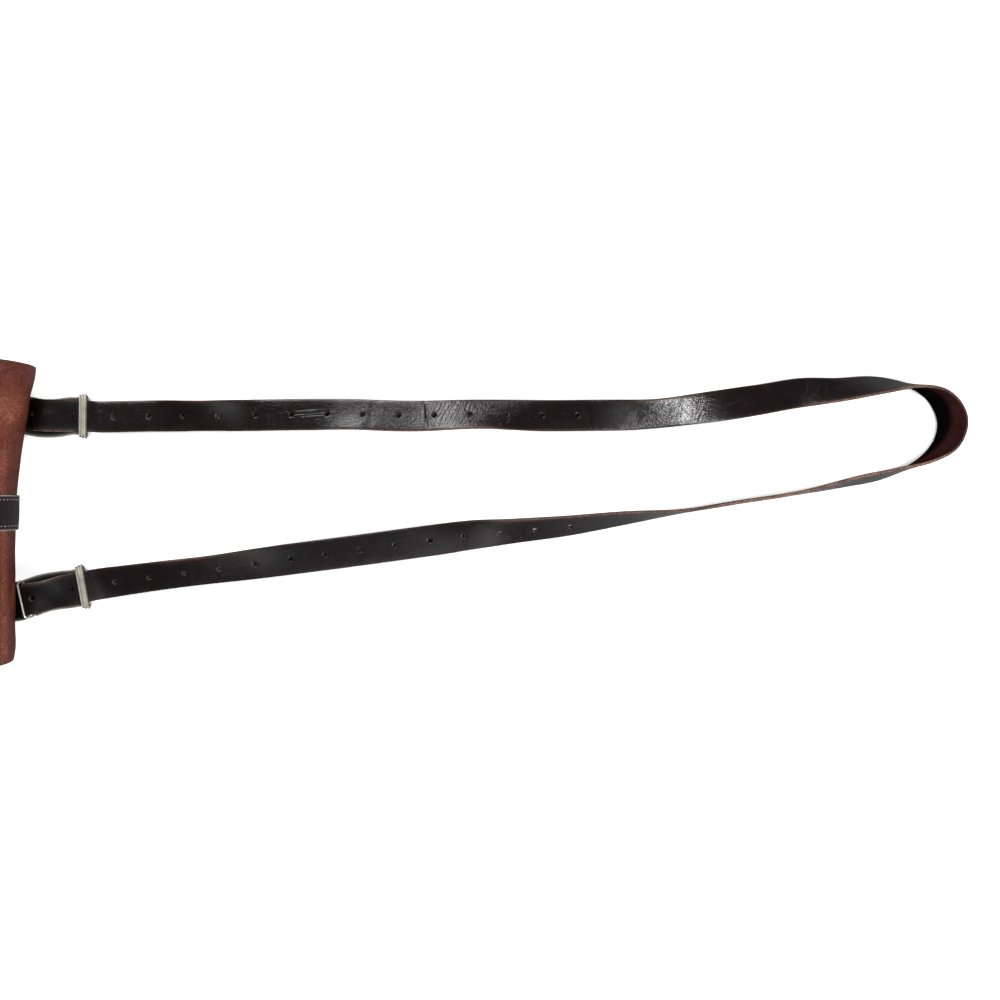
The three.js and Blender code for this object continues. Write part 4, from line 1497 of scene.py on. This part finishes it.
@dataclass
class FlapBand:
    """The dark band over the fold, which ends in the closing tongue, and the loop that holds the tongue."""

    body: BagBody
    half_width: float = 14.2
    leather: float = 1.5
    back_x: float = 30.0
    tongue_x: float = -82.0
    tongue_z: float = 77.4
    tip: float = 10.0
    crown: float = 0.4
    round_edge: float = 0.85
    stitch_inset: float = 3.7
    loop_x: float = -66.0
    loop_half: float = 8.0
    loop_leather: float = 2.5
    loop_span: float = 17.0
    loop_end: float = 31.0
    step_run: float = 12.0
    flat_from_x: float = -58.5
    box_near: float = 24.5
    box_far: float = 28.5
    box_half: float = 5.4

    def rows(self, offset: float) -> np.ndarray:
        """The band's side view: the body's profile moved out, then a step down to the tongue.

        Args:
            offset: Distance out from the middle of the bag's leather.

        Returns:
            Rows of x, z and share of the fold's skew.
        """
        flap_x = np.linspace(self.body.fold_x - 2, self.body.flap_end_x + 2, 46)
        back_x = np.linspace(self.back_x + 0.5, self.body.back_end_x, 8)
        profile = self.body.profile(back_x, flap_x, offset, 48)
        share = np.linspace(0, 1, 10)
        start = profile[-1, 1]
        drop = start + (self.tongue_z + offset - self.offset() - start) * smoothstep(0, 1, share)
        step = np.column_stack([self.body.flap_end_x - self.step_run * share, drop, 0 * share])
        flat_x = np.linspace(self.flat_from_x, self.tongue_x + self.tip, 10)
        tip_x = corner_rows(self.tongue_x + self.round_edge, self.tip, 10)[-2::-1]
        tongue = np.concatenate([flat_x, tip_x])
        tongue_rows = np.column_stack([tongue, np.full(len(tongue), drop[-1]), 0 * tongue])
        return np.vstack([profile, step, tongue_rows])

    def offset(self) -> float:
        """Distance of the band's middle from the middle of the leather under it."""
        return (self.body.leather + self.leather) / 2 + 1.2 * GAP

    def band(self) -> Piece:
        """The band, crowned between its two rows of stitches.

        Returns:
            The band.
        """
        rows = self.rows(self.offset())
        ends = rounded_half(
            self.half_width - self.round_edge, self.tip, rows[:, 0] - self.tongue_x - self.round_edge)
        grid = self.body.grid(rows, ends, np.linspace(-1, 1, 29))
        inside = np.maximum(1 - (grid[..., 1] / (self.half_width - self.stitch_inset)) ** 2, 0)
        grid = grid - grid_normals(grid) * (self.crown * inside)[..., None]
        return leather_sheet(grid, self.leather, outer=-1, reach=self.round_edge).make(
            "flap_band_leather", BAND_LEATHER.material(), Slot.DARK, "flap_band")

    def band_stitches(self) -> Piece:
        """Two rows of stitches beside the band's edges, drawn in with the tongue's tip.

        Returns:
            The stitches.
        """
        rows = self.rows(self.offset() + self.leather / 2)
        rows = rows[rows[:, 0] > self.tongue_x + self.stitch_inset + 0.3]
        ends = rounded_half(
            self.half_width - self.stitch_inset, self.tip - self.stitch_inset,
            rows[:, 0] - self.tongue_x - self.stitch_inset)
        made = []
        for side in (-1.0, 1.0):
            line = self.body.grid(rows, ends, np.array([side]))[:, 0]
            along = np.gradient(line, axis=0)
            normal = unit(np.cross(np.array([0.0, 1.0, 0.0]), along))
            made.append((line, normal))
        return StitchRow(pitch=3.6, fill=0.52, radius=0.40).make("band_stitches", made, Slot.DARK)

    def loop_grid(self) -> np.ndarray:
        """The loop's middle surface: two tabs on the front and a bridge over the tongue, eased between.

        Returns:
            Points with shape (rows, columns, 3).
        """
        seat = self.body.front_z + self.body.front_dome + GAP + self.loop_leather / 2
        bridge = self.tongue_z + self.leather / 2 + GAP + self.loop_leather / 2
        y = np.linspace(self.loop_end - 0.4, 0.4 - self.loop_end, 81)[:, None]
        x = self.loop_x + np.linspace(-1, 1, 17)[None, :] * (self.loop_half - 0.4)
        rise = 1 - smoothstep(self.loop_span - 1, self.loop_span + 6, np.abs(y))
        z = seat + (bridge - seat) * rise
        return np.stack([x + 0 * y, y + 0 * x, z + 0 * x], axis=-1)

    def tongue_loop(self) -> Piece:
        """The loop on the front."""
        return leather_sheet(self.loop_grid(), self.loop_leather, reach=0.4).make(
            "tongue_loop_leather", BAND_LEATHER.material(), Slot.DARK, "tongue_loop")

    def loop_stitches(self) -> Piece:
        """A box of stitches on each of the loop's tabs.

        Returns:
            The stitches.
        """
        top = self.body.front_z + self.body.front_dome + GAP + self.loop_leather
        made = []
        for side in (-1, 1):
            y0, y1 = side * self.box_near, side * self.box_far
            x0, x1 = self.loop_x - self.box_half, self.loop_x + self.box_half
            box = np.array([[x0, y0, top], [x1, y0, top], [x1, y1, top], [x0, y1, top], [x0, y0, top]])
            path = resample(box, 0.9)
            made.append((path, np.tile(UP, (len(path), 1))))
        return StitchRow(pitch=2.7, radius=0.38).make("tongue_loop_stitches", made, Slot.DARK)

    def build(self) -> list[Piece]:
        """Makes the band, the loop and their stitches."""
        return [self.band(), self.band_stitches(), self.tongue_loop(), self.loop_stitches()]


@dataclass(frozen=True)
class StrapEnd:
    """Where the fitting and the holes of one end lie, as distances from that end's tip."""

    keeper_at: float
    first_hole: float
    tooth_hole: float
    row_start: float
    pitch: float
    inward: float
    root: tuple[Vec3, ...]
    rise: tuple[Vec3, ...]
    row_count: int = 14
    tooth_to_slide: float = 6.6

    def holes(self) -> np.ndarray:
        """Distances of this end's sixteen holes from its tip."""
        row = self.row_start + self.pitch * np.arange(self.row_count)
        return np.concatenate([[self.first_hole, self.tooth_hole], row])


UPPER_END = StrapEnd(
    6.0, 22.0, 54.0, 84.0, 29.9, -0.2,
    ((30, 78.8, 1.75), (56, 78.8, 1.75), (74, 79.2, 2.8)), ((100, 77.8, 8.8), (112, 77.6, 9.8)))
LOWER_END = StrapEnd(
    2.9, 11.3, 41.7, 75.0, 29.35, 0.3,
    ((30, -76.2, 1.75), (54, -76.2, 1.6), (63, -76.0, 2.2), (72, -75.6, 4.1), (80, -74.5, 8.3)),
    ((104, -66.9, 12.0), (114, -65.0, 7.8)))


@dataclass(frozen=True)
class Crease:
    """A worn place of the upper run: where it lies along X, how far it spreads, and how strong it is."""

    x: float
    spread: float
    strength: float
    across: float = 0.0
    width: float = 9.0


@dataclass(frozen=True)
class Fold:
    """A bend across the upper run: where it lies along X, its slant, its rise and its width."""

    x: float
    slant: float
    rise: float
    width: float


@dataclass(frozen=True)
class BareEdge:
    """A stretch of a cut edge that has lost its dye, from one place on X to another."""

    start_x: float
    start_lower: bool
    end_x: float
    end_lower: bool
    raised: bool
    strength: float


# Width of a worn place that is as strong at the strap's edges as in its middle.
ALL_ACROSS = 99.0


@dataclass
class ShoulderStrap:
    """The punched strap: cut flat with its holes, then laid along its course.

    Worn places and folds are given by where they lie along X on the upper run. dull_ends are the
    lengths at both tips that lie dull under the fittings.
    """

    course: StrapCourse
    step: float = 4.2
    hole: float = 2.0
    patch: float = 4.0
    tip: float = 1.5
    lengthways: tuple[Crease, ...] = (Crease(321, 12, 0.9, 0.6, 2.7),)
    cupped: tuple[Crease, ...] = (
        Crease(352, 24, 0.55, 0.0, ALL_ACROSS), Crease(395, 22, 0.2, 0.0, ALL_ACROSS),
        Crease(452, 26, 0.55, 0.0, ALL_ACROSS))
    slanted: tuple[Crease, ...] = (
        Crease(447, 13, 1.0, 0.0, 15.0), Crease(350, 5, 0.5, 6.0, 5.0), Crease(428, 5, 0.7),
        Crease(651, 8, 0.9, -2.0, 9.0))
    scuffs: tuple[Crease, ...] = (
        Crease(744, 26, 0.16), Crease(660, 24, 0.2), Crease(440, 22, 0.3),
        Crease(110.6, 3.5, 0.9, 3.7, 2.5))
    lined: tuple[Crease, ...] = (Crease(590, 40, 1.0, 0.0, 40.0), Crease(640, 22, 0.8, 0.0, 40.0))
    folds: tuple[Fold, ...] = (
        Fold(419.6, -0.22, -0.45, 0.9), Fold(416.6, 0.06, 0.24, 0.8),
        Fold(373.5, 0.25, -0.20, 3.2), Fold(342.5, 0.1, -0.14, 3.0))
    dull_ends: tuple[float, float] = (60.6, 48.3)
    bare_edges: tuple[BareEdge, ...] = (
        BareEdge(99, False, 132, False, True, 0.8),
        BareEdge(120, False, 134, False, False, 0.5),
        BareEdge(130, True, 92, True, True, 0.8),
        BareEdge(330, False, 482, False, True, 0.75),
        BareEdge(728, False, 838, False, True, 0.70),
        BareEdge(830, False, 838, True, True, 0.35),
        BareEdge(842, True, 650, True, True, 0.95),
        BareEdge(660, True, 470, True, True, 0.55),
        BareEdge(248, True, 202, True, True, 0.6),
        BareEdge(218, False, 256, False, False, 0.35),
        BareEdge(594, False, 644, False, False, 0.6),
    )
    faded: float = 0.12
    hole_wear: float = 0.4
    fade_run: float = 12.0
    border_reach: float = 4.8
    least_lined: float = 0.2
    # Painted light on the flesh side: the line between lit brown and shaded black, across the strap at
    # distances along it, and how softly it falls.
    lit_flesh_s: tuple[float, float] = (745.0, 855.0)
    lit_flesh_a: tuple[float, float] = (-9.0, 9.0)
    lit_flesh_ease: float = 3.5
    face_share: float = 0.9
    grain_column: int = 4
    flesh_column: int = 26

    def section(self) -> tuple[np.ndarray, np.ndarray, np.ndarray]:
        """The cut across the strap: two flat faces with rounded, slightly bellied edges.

        Returns:
            Place across, place through and edge mask of each point round the section.
        """
        half = self.course.leather / 2
        face = np.array([-12.2, -10, -8, -6, -4, -2, 0, 2, 4, 6, 8, 10, 12.2])
        drop = half - 0.12 * (np.abs(face) / 12.2) ** 6
        side = np.array([12.78, 13.03, 13.06, 13.03, 12.78])
        height = np.array([1.16, 0.62, 0.0, -0.62, -1.16])
        across = np.concatenate([face, side, face[::-1], -side])
        through = np.concatenate([drop, height, -drop, height[::-1]])
        edge = np.concatenate([0 * face, 0 * side + 1, 0 * face, 0 * side + 1])
        return across, through, edge

    def holes(self) -> np.ndarray:
        """Distances of all holes from the upper tip."""
        return np.sort(np.concatenate([UPPER_END.holes(), self.course.length - LOWER_END.holes()]))

    def stations(self, holes: np.ndarray) -> np.ndarray:
        """Distances of the sections: close at tips, holes and the sharpest fold, even between them.

        Args:
            holes: Distances of the holes.

        Returns:
            The distances in order.
        """
        crack = self.course.distance_at(self.folds[0].x) + np.linspace(-4.5, 4.5, 11)
        square = (holes[:, None] + self.patch * np.array([-1, -0.5, 0, 0.5, 1])).ravel()
        crack = crack[np.min(np.abs(crack[:, None] - holes), axis=1) > self.patch + 0.6]
        end = self.course.length
        tips = [0, 0.4, self.tip, end - self.tip, end - 0.4, end]
        marks = np.unique(np.concatenate([tips, square, crack]))
        steps = np.ceil(np.diff(marks) / self.step).astype(int)
        runs = [np.linspace(a, b, n + 1)[:-1] for a, b, n in zip(marks[:-1], marks[1:], steps)]
        return np.concatenate([*runs, marks[-1:]])

    def mask(self, places: tuple[Crease, ...], s: np.ndarray, a: np.ndarray) -> np.ndarray:
        """Where worn places lie: the sum of bell curves along and across the strap.

        Args:
            places: The worn places.
            s: Distance along the strap.
            a: Distance across it.

        Returns:
            Strength of 0 to 1 at each point.
        """
        total = np.zeros_like(s)
        for place in places:
            along = bell(s - self.course.distance_at(place.x), place.spread)
            total = total + place.strength * along * bell(a - place.across, place.width)
        return np.clip(total, 0, 1)

    def rawness(self, s: np.ndarray, a: np.ndarray) -> np.ndarray:
        """How bare the cut edges are: each stretch eases in and out on its own edge.

        Args:
            s: Distance along the strap.
            a: Distance across it.

        Returns:
            Bareness of 0 to 1 at each point.
        """
        total = np.full(len(s), self.faded)
        for bare in self.bare_edges:
            start = self.course.distance_at(bare.start_x, bare.start_lower)
            end = self.course.distance_at(bare.end_x, bare.end_lower)
            inside = smoothstep(start - self.fade_run, start + self.fade_run, s)
            inside = inside * smoothstep(end + self.fade_run, end - self.fade_run, s)
            total = np.maximum(total, bare.strength * inside * ((a < 0) == bare.raised))
        return total

    def lit_flesh(self, s: np.ndarray, a: np.ndarray) -> np.ndarray:
        """Painted light on the flesh side: 1 along the raised border, and across more of the strap round
        the loop; 0 in the painted shade.
        """
        border = np.interp(s, self.lit_flesh_s, self.lit_flesh_a)
        return smoothstep(self.lit_flesh_ease, -self.lit_flesh_ease, a - border)

    def punched(self) -> Surface:
        """Cuts and punches the flat strap.

        The strap is a grid of sections. At each hole a square of four by four cells on both faces
        gives way to rings that run from the square to the hole's rounded rim and down its wall.

        Returns:
            The strap with its points still flat: along, across and through.
        """
        across, through, edge = self.section()
        holes = self.holes()
        s = self.stations(holes)
        ring = len(across)
        count = len(s) * ring
        first = np.searchsorted(s, holes - self.patch - 1e-6)
        cells = grid_quads(len(s), ring, close_columns=True)
        square = np.arange(4)
        columns = np.concatenate([self.grain_column + square, self.flesh_column - 1 - square])
        keep = np.ones(cells.shape[:2], bool)
        keep[np.ix_((first[:, None] + square).ravel(), columns)] = False
        walk = np.array([4, 4, 4, 3, 2, 1, 0, 0, 0, 0, 0, 1, 2, 3, 4, 4])
        stride = np.roll(walk, 4)
        base = (first[:, None] + walk) * ring

        radius = np.array([3.05, 2.5, 2.16, self.hole])
        sink = np.array([0.0, 0.05, 0.2, 0.6])
        worn = np.array([0.0, 0.0, 0.5, 1.0])
        angle = np.arange(len(walk)) * 2 * np.pi / len(walk)
        shape = (len(holes), len(radius), len(walk))
        hole_s = (holes[:, None, None] + radius[:, None] * np.cos(angle)).ravel()
        hole_a = np.broadcast_to(radius[:, None] * np.sin(angle), shape).ravel()
        hole_b = np.broadcast_to((self.course.leather / 2 - sink)[:, None], shape).ravel()
        rim = np.broadcast_to(worn[:, None], shape).ravel()
        numbers = count + np.arange(rim.size).reshape(shape)
        top = np.concatenate([(base + self.grain_column + stride)[:, None], numbers], axis=1)
        under = np.concatenate([(base + self.flesh_column - stride)[:, None], numbers + rim.size], axis=1)
        chain = np.concatenate([top, under[:, ::-1]], axis=1)
        after = np.roll(chain, -1, axis=2)
        wall = np.stack([chain[:, :-1], after[:, :-1], after[:, 1:], chain[:, 1:]], axis=-1)

        flat = np.column_stack([
            np.concatenate([np.repeat(s, ring), hole_s, hole_s]),
            np.concatenate([np.tile(across, len(s)), hole_a, hole_a]),
            np.concatenate([np.tile(through, len(s)), hole_b, -hole_b]),
        ])
        cut = np.concatenate([np.tile(edge, len(s)), rim, rim])
        near = np.exp((np.abs(flat[:, 1]) - self.course.width / 2) / self.border_reach)
        tone = np.column_stack([cut, np.clip(near, 0, 1), smoothstep(-0.4, -1.2, flat[:, 2])])
        raw = self.rawness(flat[:, 0], flat[:, 1])
        raw[count:] = self.hole_wear
        start = np.arange(ring)
        caps = (start, (start + count - ring)[::-1])
        return Surface(flat, np.vstack([cells[keep], wall.reshape(-1, 4)]), flat, tone, raw=raw, caps=caps)

    def build(self) -> list[Piece]:
        """Lays the punched strap along its course and marks its worn places and the painted light on its
        flesh side.

        Each point at s along, a across and b through goes to the course's centre at s plus a times
        across plus b times normal. Folds add bell curves to b on the grain side. Where the strap is
        cupped, b grows by the square of a over half the width.

        Returns:
            The strap.
        """
        strap = self.punched()
        s, a, through = strap.flat.T
        b = through.copy()
        for fold in self.folds:
            off = s - self.course.distance_at(fold.x) - fold.slant * a
            b += fold.rise * bell(off, fold.width) * (through > self.face_share)
        b += self.mask(self.cupped, s, a) * (a / (self.course.width / 2)) ** 2
        frames = self.course.frames(s)
        strap.points = frames.centre + a[:, None] * frames.across + b[:, None] * frames.normal

        flesh = strap.tone[:, 2]
        # On the flesh side the third crease value is painted light and shade; on the grain side it is
        # scuffs.
        wear_and_painted_light = np.where(flesh > self.face_share, self.lit_flesh(s, a), self.mask(self.scuffs, s, a))
        strap.crease = np.column_stack([
            self.mask(self.lengthways, s, a), self.mask(self.slanted, s, a), wear_and_painted_light])
        strap.flexed = np.maximum(self.mask(self.lined, s, a), self.least_lined)
        inner = flesh[strap.quads].mean(axis=1) > self.face_share
        middle = s[strap.quads].mean(axis=1)
        at_end = (middle < self.dull_ends[0]) | (self.course.length - middle < self.dull_ends[1])
        strap.part = np.where(inner, 1, 2 * at_end)
        more = (STRAP_FLESH.material(), STRAP_END_LEATHER.material())
        return [strap.outward().make(
            "shoulder_strap_leather", STRAP_LEATHER.material(), Slot.DARK, "shoulder_strap", 1, more)]


@dataclass
class Fitting:
    """One end's chape with the wire keeper and the ridged slide that hold the strap on it."""

    name: str
    end: StrapEnd
    course: StrapCourse
    turned: bool
    chape_leather: float = 2.4
    chape_half: float = 16.0
    slack: float = 0.1
    bevel: float = 0.9
    notch_radius: float = 2.3
    notch_at: float = 15.2
    wire: float = 0.9
    keeper_half: float = 14.7
    keeper_height: float = 4.9
    keeper_corner: float = 2.4
    slide_half: float = 16.36
    slide_length: float = 3.1
    slide_wall: float = 1.1
    slide_corner: float = 1.2
    ridges: tuple[Vec3, ...] = ((-2.6, 0.35, 0.40), (-0.45, 1.0, 0.45), (1.75, 1.08, 0.62))
    knob: float = 0.30
    knob_spread: float = 1.7
    tongue_half: float = 3.6
    tooth_radius: float = 1.3
    tooth_sides: int = 20
    keeper_run: tuple[float, float] = (-3.0, 1.2)
    slide_run: tuple[float, float] = (-7.0, 2.4)
    inset: float = 0.4

    def frame_at(self, from_tip: float, inward: float = 0.0) -> Frames:
        """The frame of a fitting at a distance from this end's tip."""
        distance = self.course.length - from_tip if self.turned else from_tip
        return self.course.fitting(distance, self.turned, inward)

    def chape(self) -> Piece:
        """The tab from under the bag to the slide: level across, notched where the keeper's legs pass.

        Returns:
            The chape.
        """
        keeper = self.frame_at(self.end.keeper_at, self.end.inward)
        slide = self.frame_at(self.end.tooth_hole + self.end.tooth_to_slide)
        sunk = -self.slack - (self.chape_leather + GAP) / 2
        guide = np.array([
            *self.end.root,
            *(keeper.centre + keeper.normal * sunk + keeper.along * ahead for ahead in self.keeper_run),
            *self.end.rise,
            *(slide.centre + slide.normal * sunk + slide.along * ahead for ahead in self.slide_run),
        ], float)
        line = smooth_line(guide, np.linspace(0, 1, 3000))
        length = arc_lengths(line)
        at_keeper = length[np.argmin(np.linalg.norm(line - keeper.centre - keeper.normal * sunk, axis=1))]
        cut = at_keeper + self.notch_radius * np.sin(np.linspace(-np.pi / 2, np.pi / 2, 15))
        places = np.linspace(self.inset, length[-1] - self.inset, 70)
        clear = np.abs(places - at_keeper) > self.notch_radius + 0.3
        places = np.sort(np.concatenate([places[clear], cut]))
        centre = at_distances(line, length, places)
        along = unit(np.gradient(centre, places, axis=0))
        across = unit(np.cross(UP, along))
        bite = np.sqrt(np.maximum(1 - ((places - at_keeper) / self.notch_radius) ** 2, 0))
        half = self.chape_half - self.bevel - (self.chape_half - self.notch_at + self.notch_radius) * bite
        side = np.linspace(-1, 1, 25)
        grid = centre[:, None] + across[:, None] * (half[:, None] * side)[..., None]
        return leather_sheet(grid, self.chape_leather, reach=self.bevel).make(
            f"chape_{self.name}_leather", CHAPE_LEATHER.material(), Slot.DARK, f"chape_{self.name}")

    def keeper(self) -> Piece:
        """A wire bent to a rounded rectangle round strap and chape.

        Returns:
            The keeper.
        """
        place = self.frame_at(self.end.keeper_at, self.end.inward)
        path, out = rounded_path(self.keeper_half, self.keeper_height, self.keeper_corner, 8, 14)
        angle = np.linspace(0, 2 * np.pi, 14, endpoint=False)
        section = self.wire * np.column_stack([np.cos(angle), np.sin(angle)])
        return self.ring(place, path, out, section).make(
            f"keeper_{self.name}_wire", CHROME.material(), Slot.CHROME, f"keeper_{self.name}")

    @staticmethod
    def ring(place: Frames, path: np.ndarray, out: np.ndarray, section: np.ndarray) -> Surface:
        """Carries a section round a path that is given in a frame's across and normal plane.

        Args:
            place: The frame.
            path: Pairs of across and normal.
            out: Outward directions, as pairs too.
            section: Profile as pairs of place along the strap and height.

        Returns:
            The closed ring.
        """
        points = place.centre + path[:, 0:1] * place.across + path[:, 1:2] * place.normal
        ways = out[:, 0:1] * place.across + out[:, 1:2] * place.normal
        return carried_ring(points, ways, place.along, section)

    def slide_section(self) -> np.ndarray:
        """The slide's wall along the strap: a thin plate with a rolled rim and two bell-shaped ridges.

        Each ridge has a place along the strap, a height and a width.

        Returns:
            Pairs of place along the strap and height.
        """
        x = np.linspace(-1, 1, 49) * self.slide_length
        bells = sum(height * bell(x - at, width) for at, height, width in self.ridges)
        ends = np.maximum(1 - (x / self.slide_length) ** 10, 0.0) ** 0.5
        top = np.column_stack([x, 0.12 + (self.slide_wall * 0.62 + bells) * ends])
        low = np.column_stack([np.linspace(1, -1, 13) * self.slide_length, np.zeros(13)])
        return np.vstack([top, low])

    def tongue(self, place: Frames, inner: float) -> Surface:
        """The slide's tongue: a narrow plate under the chape that carries the tooth.

        Args:
            place: The slide's frame.
            inner: Half the slide's inner height.

        Returns:
            The tongue.
        """
        reach = self.end.tooth_to_slide + 1.6
        along = np.linspace(self.inset - reach, 0, 14)
        across = np.linspace(-self.tongue_half, self.tongue_half, 13)
        x, y = np.meshgrid(along, across, indexing="ij")
        low = np.full(x.shape, -inner - self.slide_wall / 2 - GAP)
        return leather_sheet(place.at(x, y, low), self.slide_wall, reach=self.inset)

    def tooth(self, place: Frames, inner: float) -> Surface:
        """The slide's tooth: a round pin that narrows to its tip, a little below the strap's face.

        Args:
            place: The slide's frame.
            inner: Half the slide's inner height.

        Returns:
            The tooth.
        """
        angle = np.linspace(0, 2 * np.pi, self.tooth_sides, endpoint=False)
        height = np.array([-inner - 0.4, -inner + 0.6, inner - 4.2, inner - 3.8, inner - 3.6])
        girth = self.tooth_radius * np.array([1, 1, 1, 0.86, 0.5])
        x = girth[:, None] * np.cos(angle) - self.end.tooth_to_slide
        y = girth[:, None] * np.sin(angle)
        z = np.broadcast_to(height[:, None], x.shape)
        quads = grid_quads(len(height), self.tooth_sides, close_columns=True)
        turn = np.arange(self.tooth_sides)
        caps = (turn[::-1], turn + (len(height) - 1) * self.tooth_sides)
        flat = np.stack([x, y, z], axis=-1).reshape(-1, 3)
        return Surface(place.at(x, y, z).reshape(-1, 3), quads, flat, caps=caps).outward()

    def slide(self) -> Piece:
        """The ridged sleeve with knobbed ends, and its tongue with the tooth that sits in a hole.

        Returns:
            The slide.
        """
        place = self.frame_at(self.end.tooth_hole + self.end.tooth_to_slide)
        inner = self.course.leather + GAP * 1.5
        path, out = rounded_path(self.slide_half, inner, self.slide_corner, 8, 26)
        section = self.slide_section()
        knob = 1 + self.knob * bell(np.abs(path[:, 0]) - self.slide_half, self.knob_spread)
        carried = section * np.stack([np.ones_like(knob), knob], -1)[:, None, :]
        sleeve = self.ring(place, path, out, carried)
        whole = sleeve.joined(self.tongue(place, inner)).joined(self.tooth(place, inner))
        # Tongue and tooth keep depth 0 and take the full dull film: painted shade for the tooth down in the
        # strap's hole and the tongue under the chape.
        depth = np.zeros(len(whole.points))
        depth[: len(sleeve.points)] = np.tile(section[:, 1], len(path))
        film_and_shade = smoothstep(1.25, 0.75, depth)
        whole.tone = np.column_stack([0 * film_and_shade, film_and_shade, 0 * film_and_shade])
        return whole.make(f"slide_{self.name}_metal", NICKEL.material(), Slot.NICKEL, f"slide_{self.name}")

    def build(self) -> list[Piece]:
        """Makes the chape, the keeper and the slide."""
        return [self.chape(), self.keeper(), self.slide()]


@dataclass(frozen=True)
class Softbox:
    """A soft rectangular lamp that looks at a point on the floor, in metres and watts."""

    name: str
    place: Vec3
    target: Vec3
    size: tuple[float, float]
    power: float

    def make(self) -> None:
        """Adds the lamp to the scene, turned so that it faces its target."""
        lamp = bpy.data.lights.new(self.name, "AREA")
        lamp.shape = "RECTANGLE"
        lamp.size, lamp.size_y = self.size
        lamp.energy = self.power
        piece = bpy.data.objects.new(self.name, lamp)
        back = unit(np.array(self.place) - np.array(self.target))
        right = unit(np.cross([0.0, 1.0, 0.0], back))
        rows = np.eye(4)
        rows[:3] = np.column_stack([right, np.cross(back, right), back, self.place])
        piece.matrix_world = Matrix(rows.tolist())
        bpy.context.scene.collection.objects.link(piece)


@dataclass
class Studio:
    """A pale floor, soft lamps at both sides and the camera straight above."""

    floor_half: float = 6000.0
    floor_z: float = -0.25
    camera_at: Vec3 = (480.0, 10.0, 672.0)
    lens: float = 28.8
    sensor: float = 36.0
    world: float = 0.12
    backdrop: float = 0.9
    lamps: tuple[Softbox, ...] = (
        Softbox("softbox_far", (0.00, 1.04, 1.38), (0.42, 0.05, 0.0), (0.36, 0.62), 14.0),
        Softbox("softbox_near", (1.13, -0.59, 0.85), (0.63, 0.08, 0.0), (0.26, 0.30), 11.0),
        Softbox("softbox_fill", (-0.78, 1.35, 1.28), (0.42, 0.05, 0.0), (0.90, 0.90), 20.0),
        Softbox("softbox_low", (0.50, -0.74, 1.90), (0.45, -0.03, 0.0), (1.20, 1.00), 4.4),
        Softbox("softbox_side", (0.78, -1.50, 0.80), (0.50, 0.0, 0.0), (1.50, 0.80), 6.0),
    )

    def floor(self) -> None:
        """The floor: one wide sheet of paper, centred under the camera along X."""
        half = self.floor_half * MM
        mesh = bpy.data.meshes.new("floor")
        centre = [self.camera_at[0] * MM, 0.0, self.floor_z * MM]
        corners = np.array([[-1, -1, 0], [1, -1, 0], [1, 1, 0], [-1, 1, 0]]) * half + centre
        mesh.from_pydata(corners.tolist(), [], [(0, 1, 2, 3)])
        mesh.materials.append(PAPER.material())
        piece = bpy.data.objects.new("floor", mesh)
        bpy.context.scene.collection.objects.link(piece)

    def camera(self) -> None:
        """The camera looks straight down with +Y up in the picture."""
        lens = bpy.data.cameras.new("camera")
        lens.lens = self.lens
        lens.sensor_width = self.sensor
        lens.clip_start = 0.01
        piece = bpy.data.objects.new("camera", lens)
        piece.location = tuple(value * MM for value in self.camera_at)
        bpy.context.scene.collection.objects.link(piece)
        bpy.context.scene.camera = piece

    def build(self) -> None:
        """Sets up the floor, the lamps, the dim surroundings and the camera."""
        self.floor()
        self.camera()
        for lamp in self.lamps:
            lamp.make()
        scene = bpy.context.scene
        scene.world = scene.world or bpy.data.worlds.new("studio")
        scene.world.use_nodes = True
        g = Graph(scene.world.node_tree)
        background = scene.world.node_tree.nodes["Background"]
        background.inputs["Color"].default_value = (1.0, 1.0, 1.0, 1.0)
        seen = g.node("ShaderNodeLightPath").outputs["Is Camera Ray"]
        g.tree.links.new(g.between(seen, self.world, self.backdrop), background.inputs["Strength"])
        scene.view_settings.view_transform = "Standard"


def main() -> None:
    """Builds the studio and the bag's sub-assemblies in order."""
    logging.basicConfig(level=logging.INFO, format="%(message)s")
    Studio().build()
    body = BagBody()
    course = StrapCourse()
    LOG.info("strap length %.1f mm", course.length)
    assemblies = (
        body,
        FlapBand(body),
        Fitting("upper", UPPER_END, course, False),
        Fitting("lower", LOWER_END, course, True),
        ShoulderStrap(course),
    )
    for assembly in assemblies:
        for piece in assembly.build():
            LOG.info("made %s", piece.name)


if __name__ == "__main__":
    main()
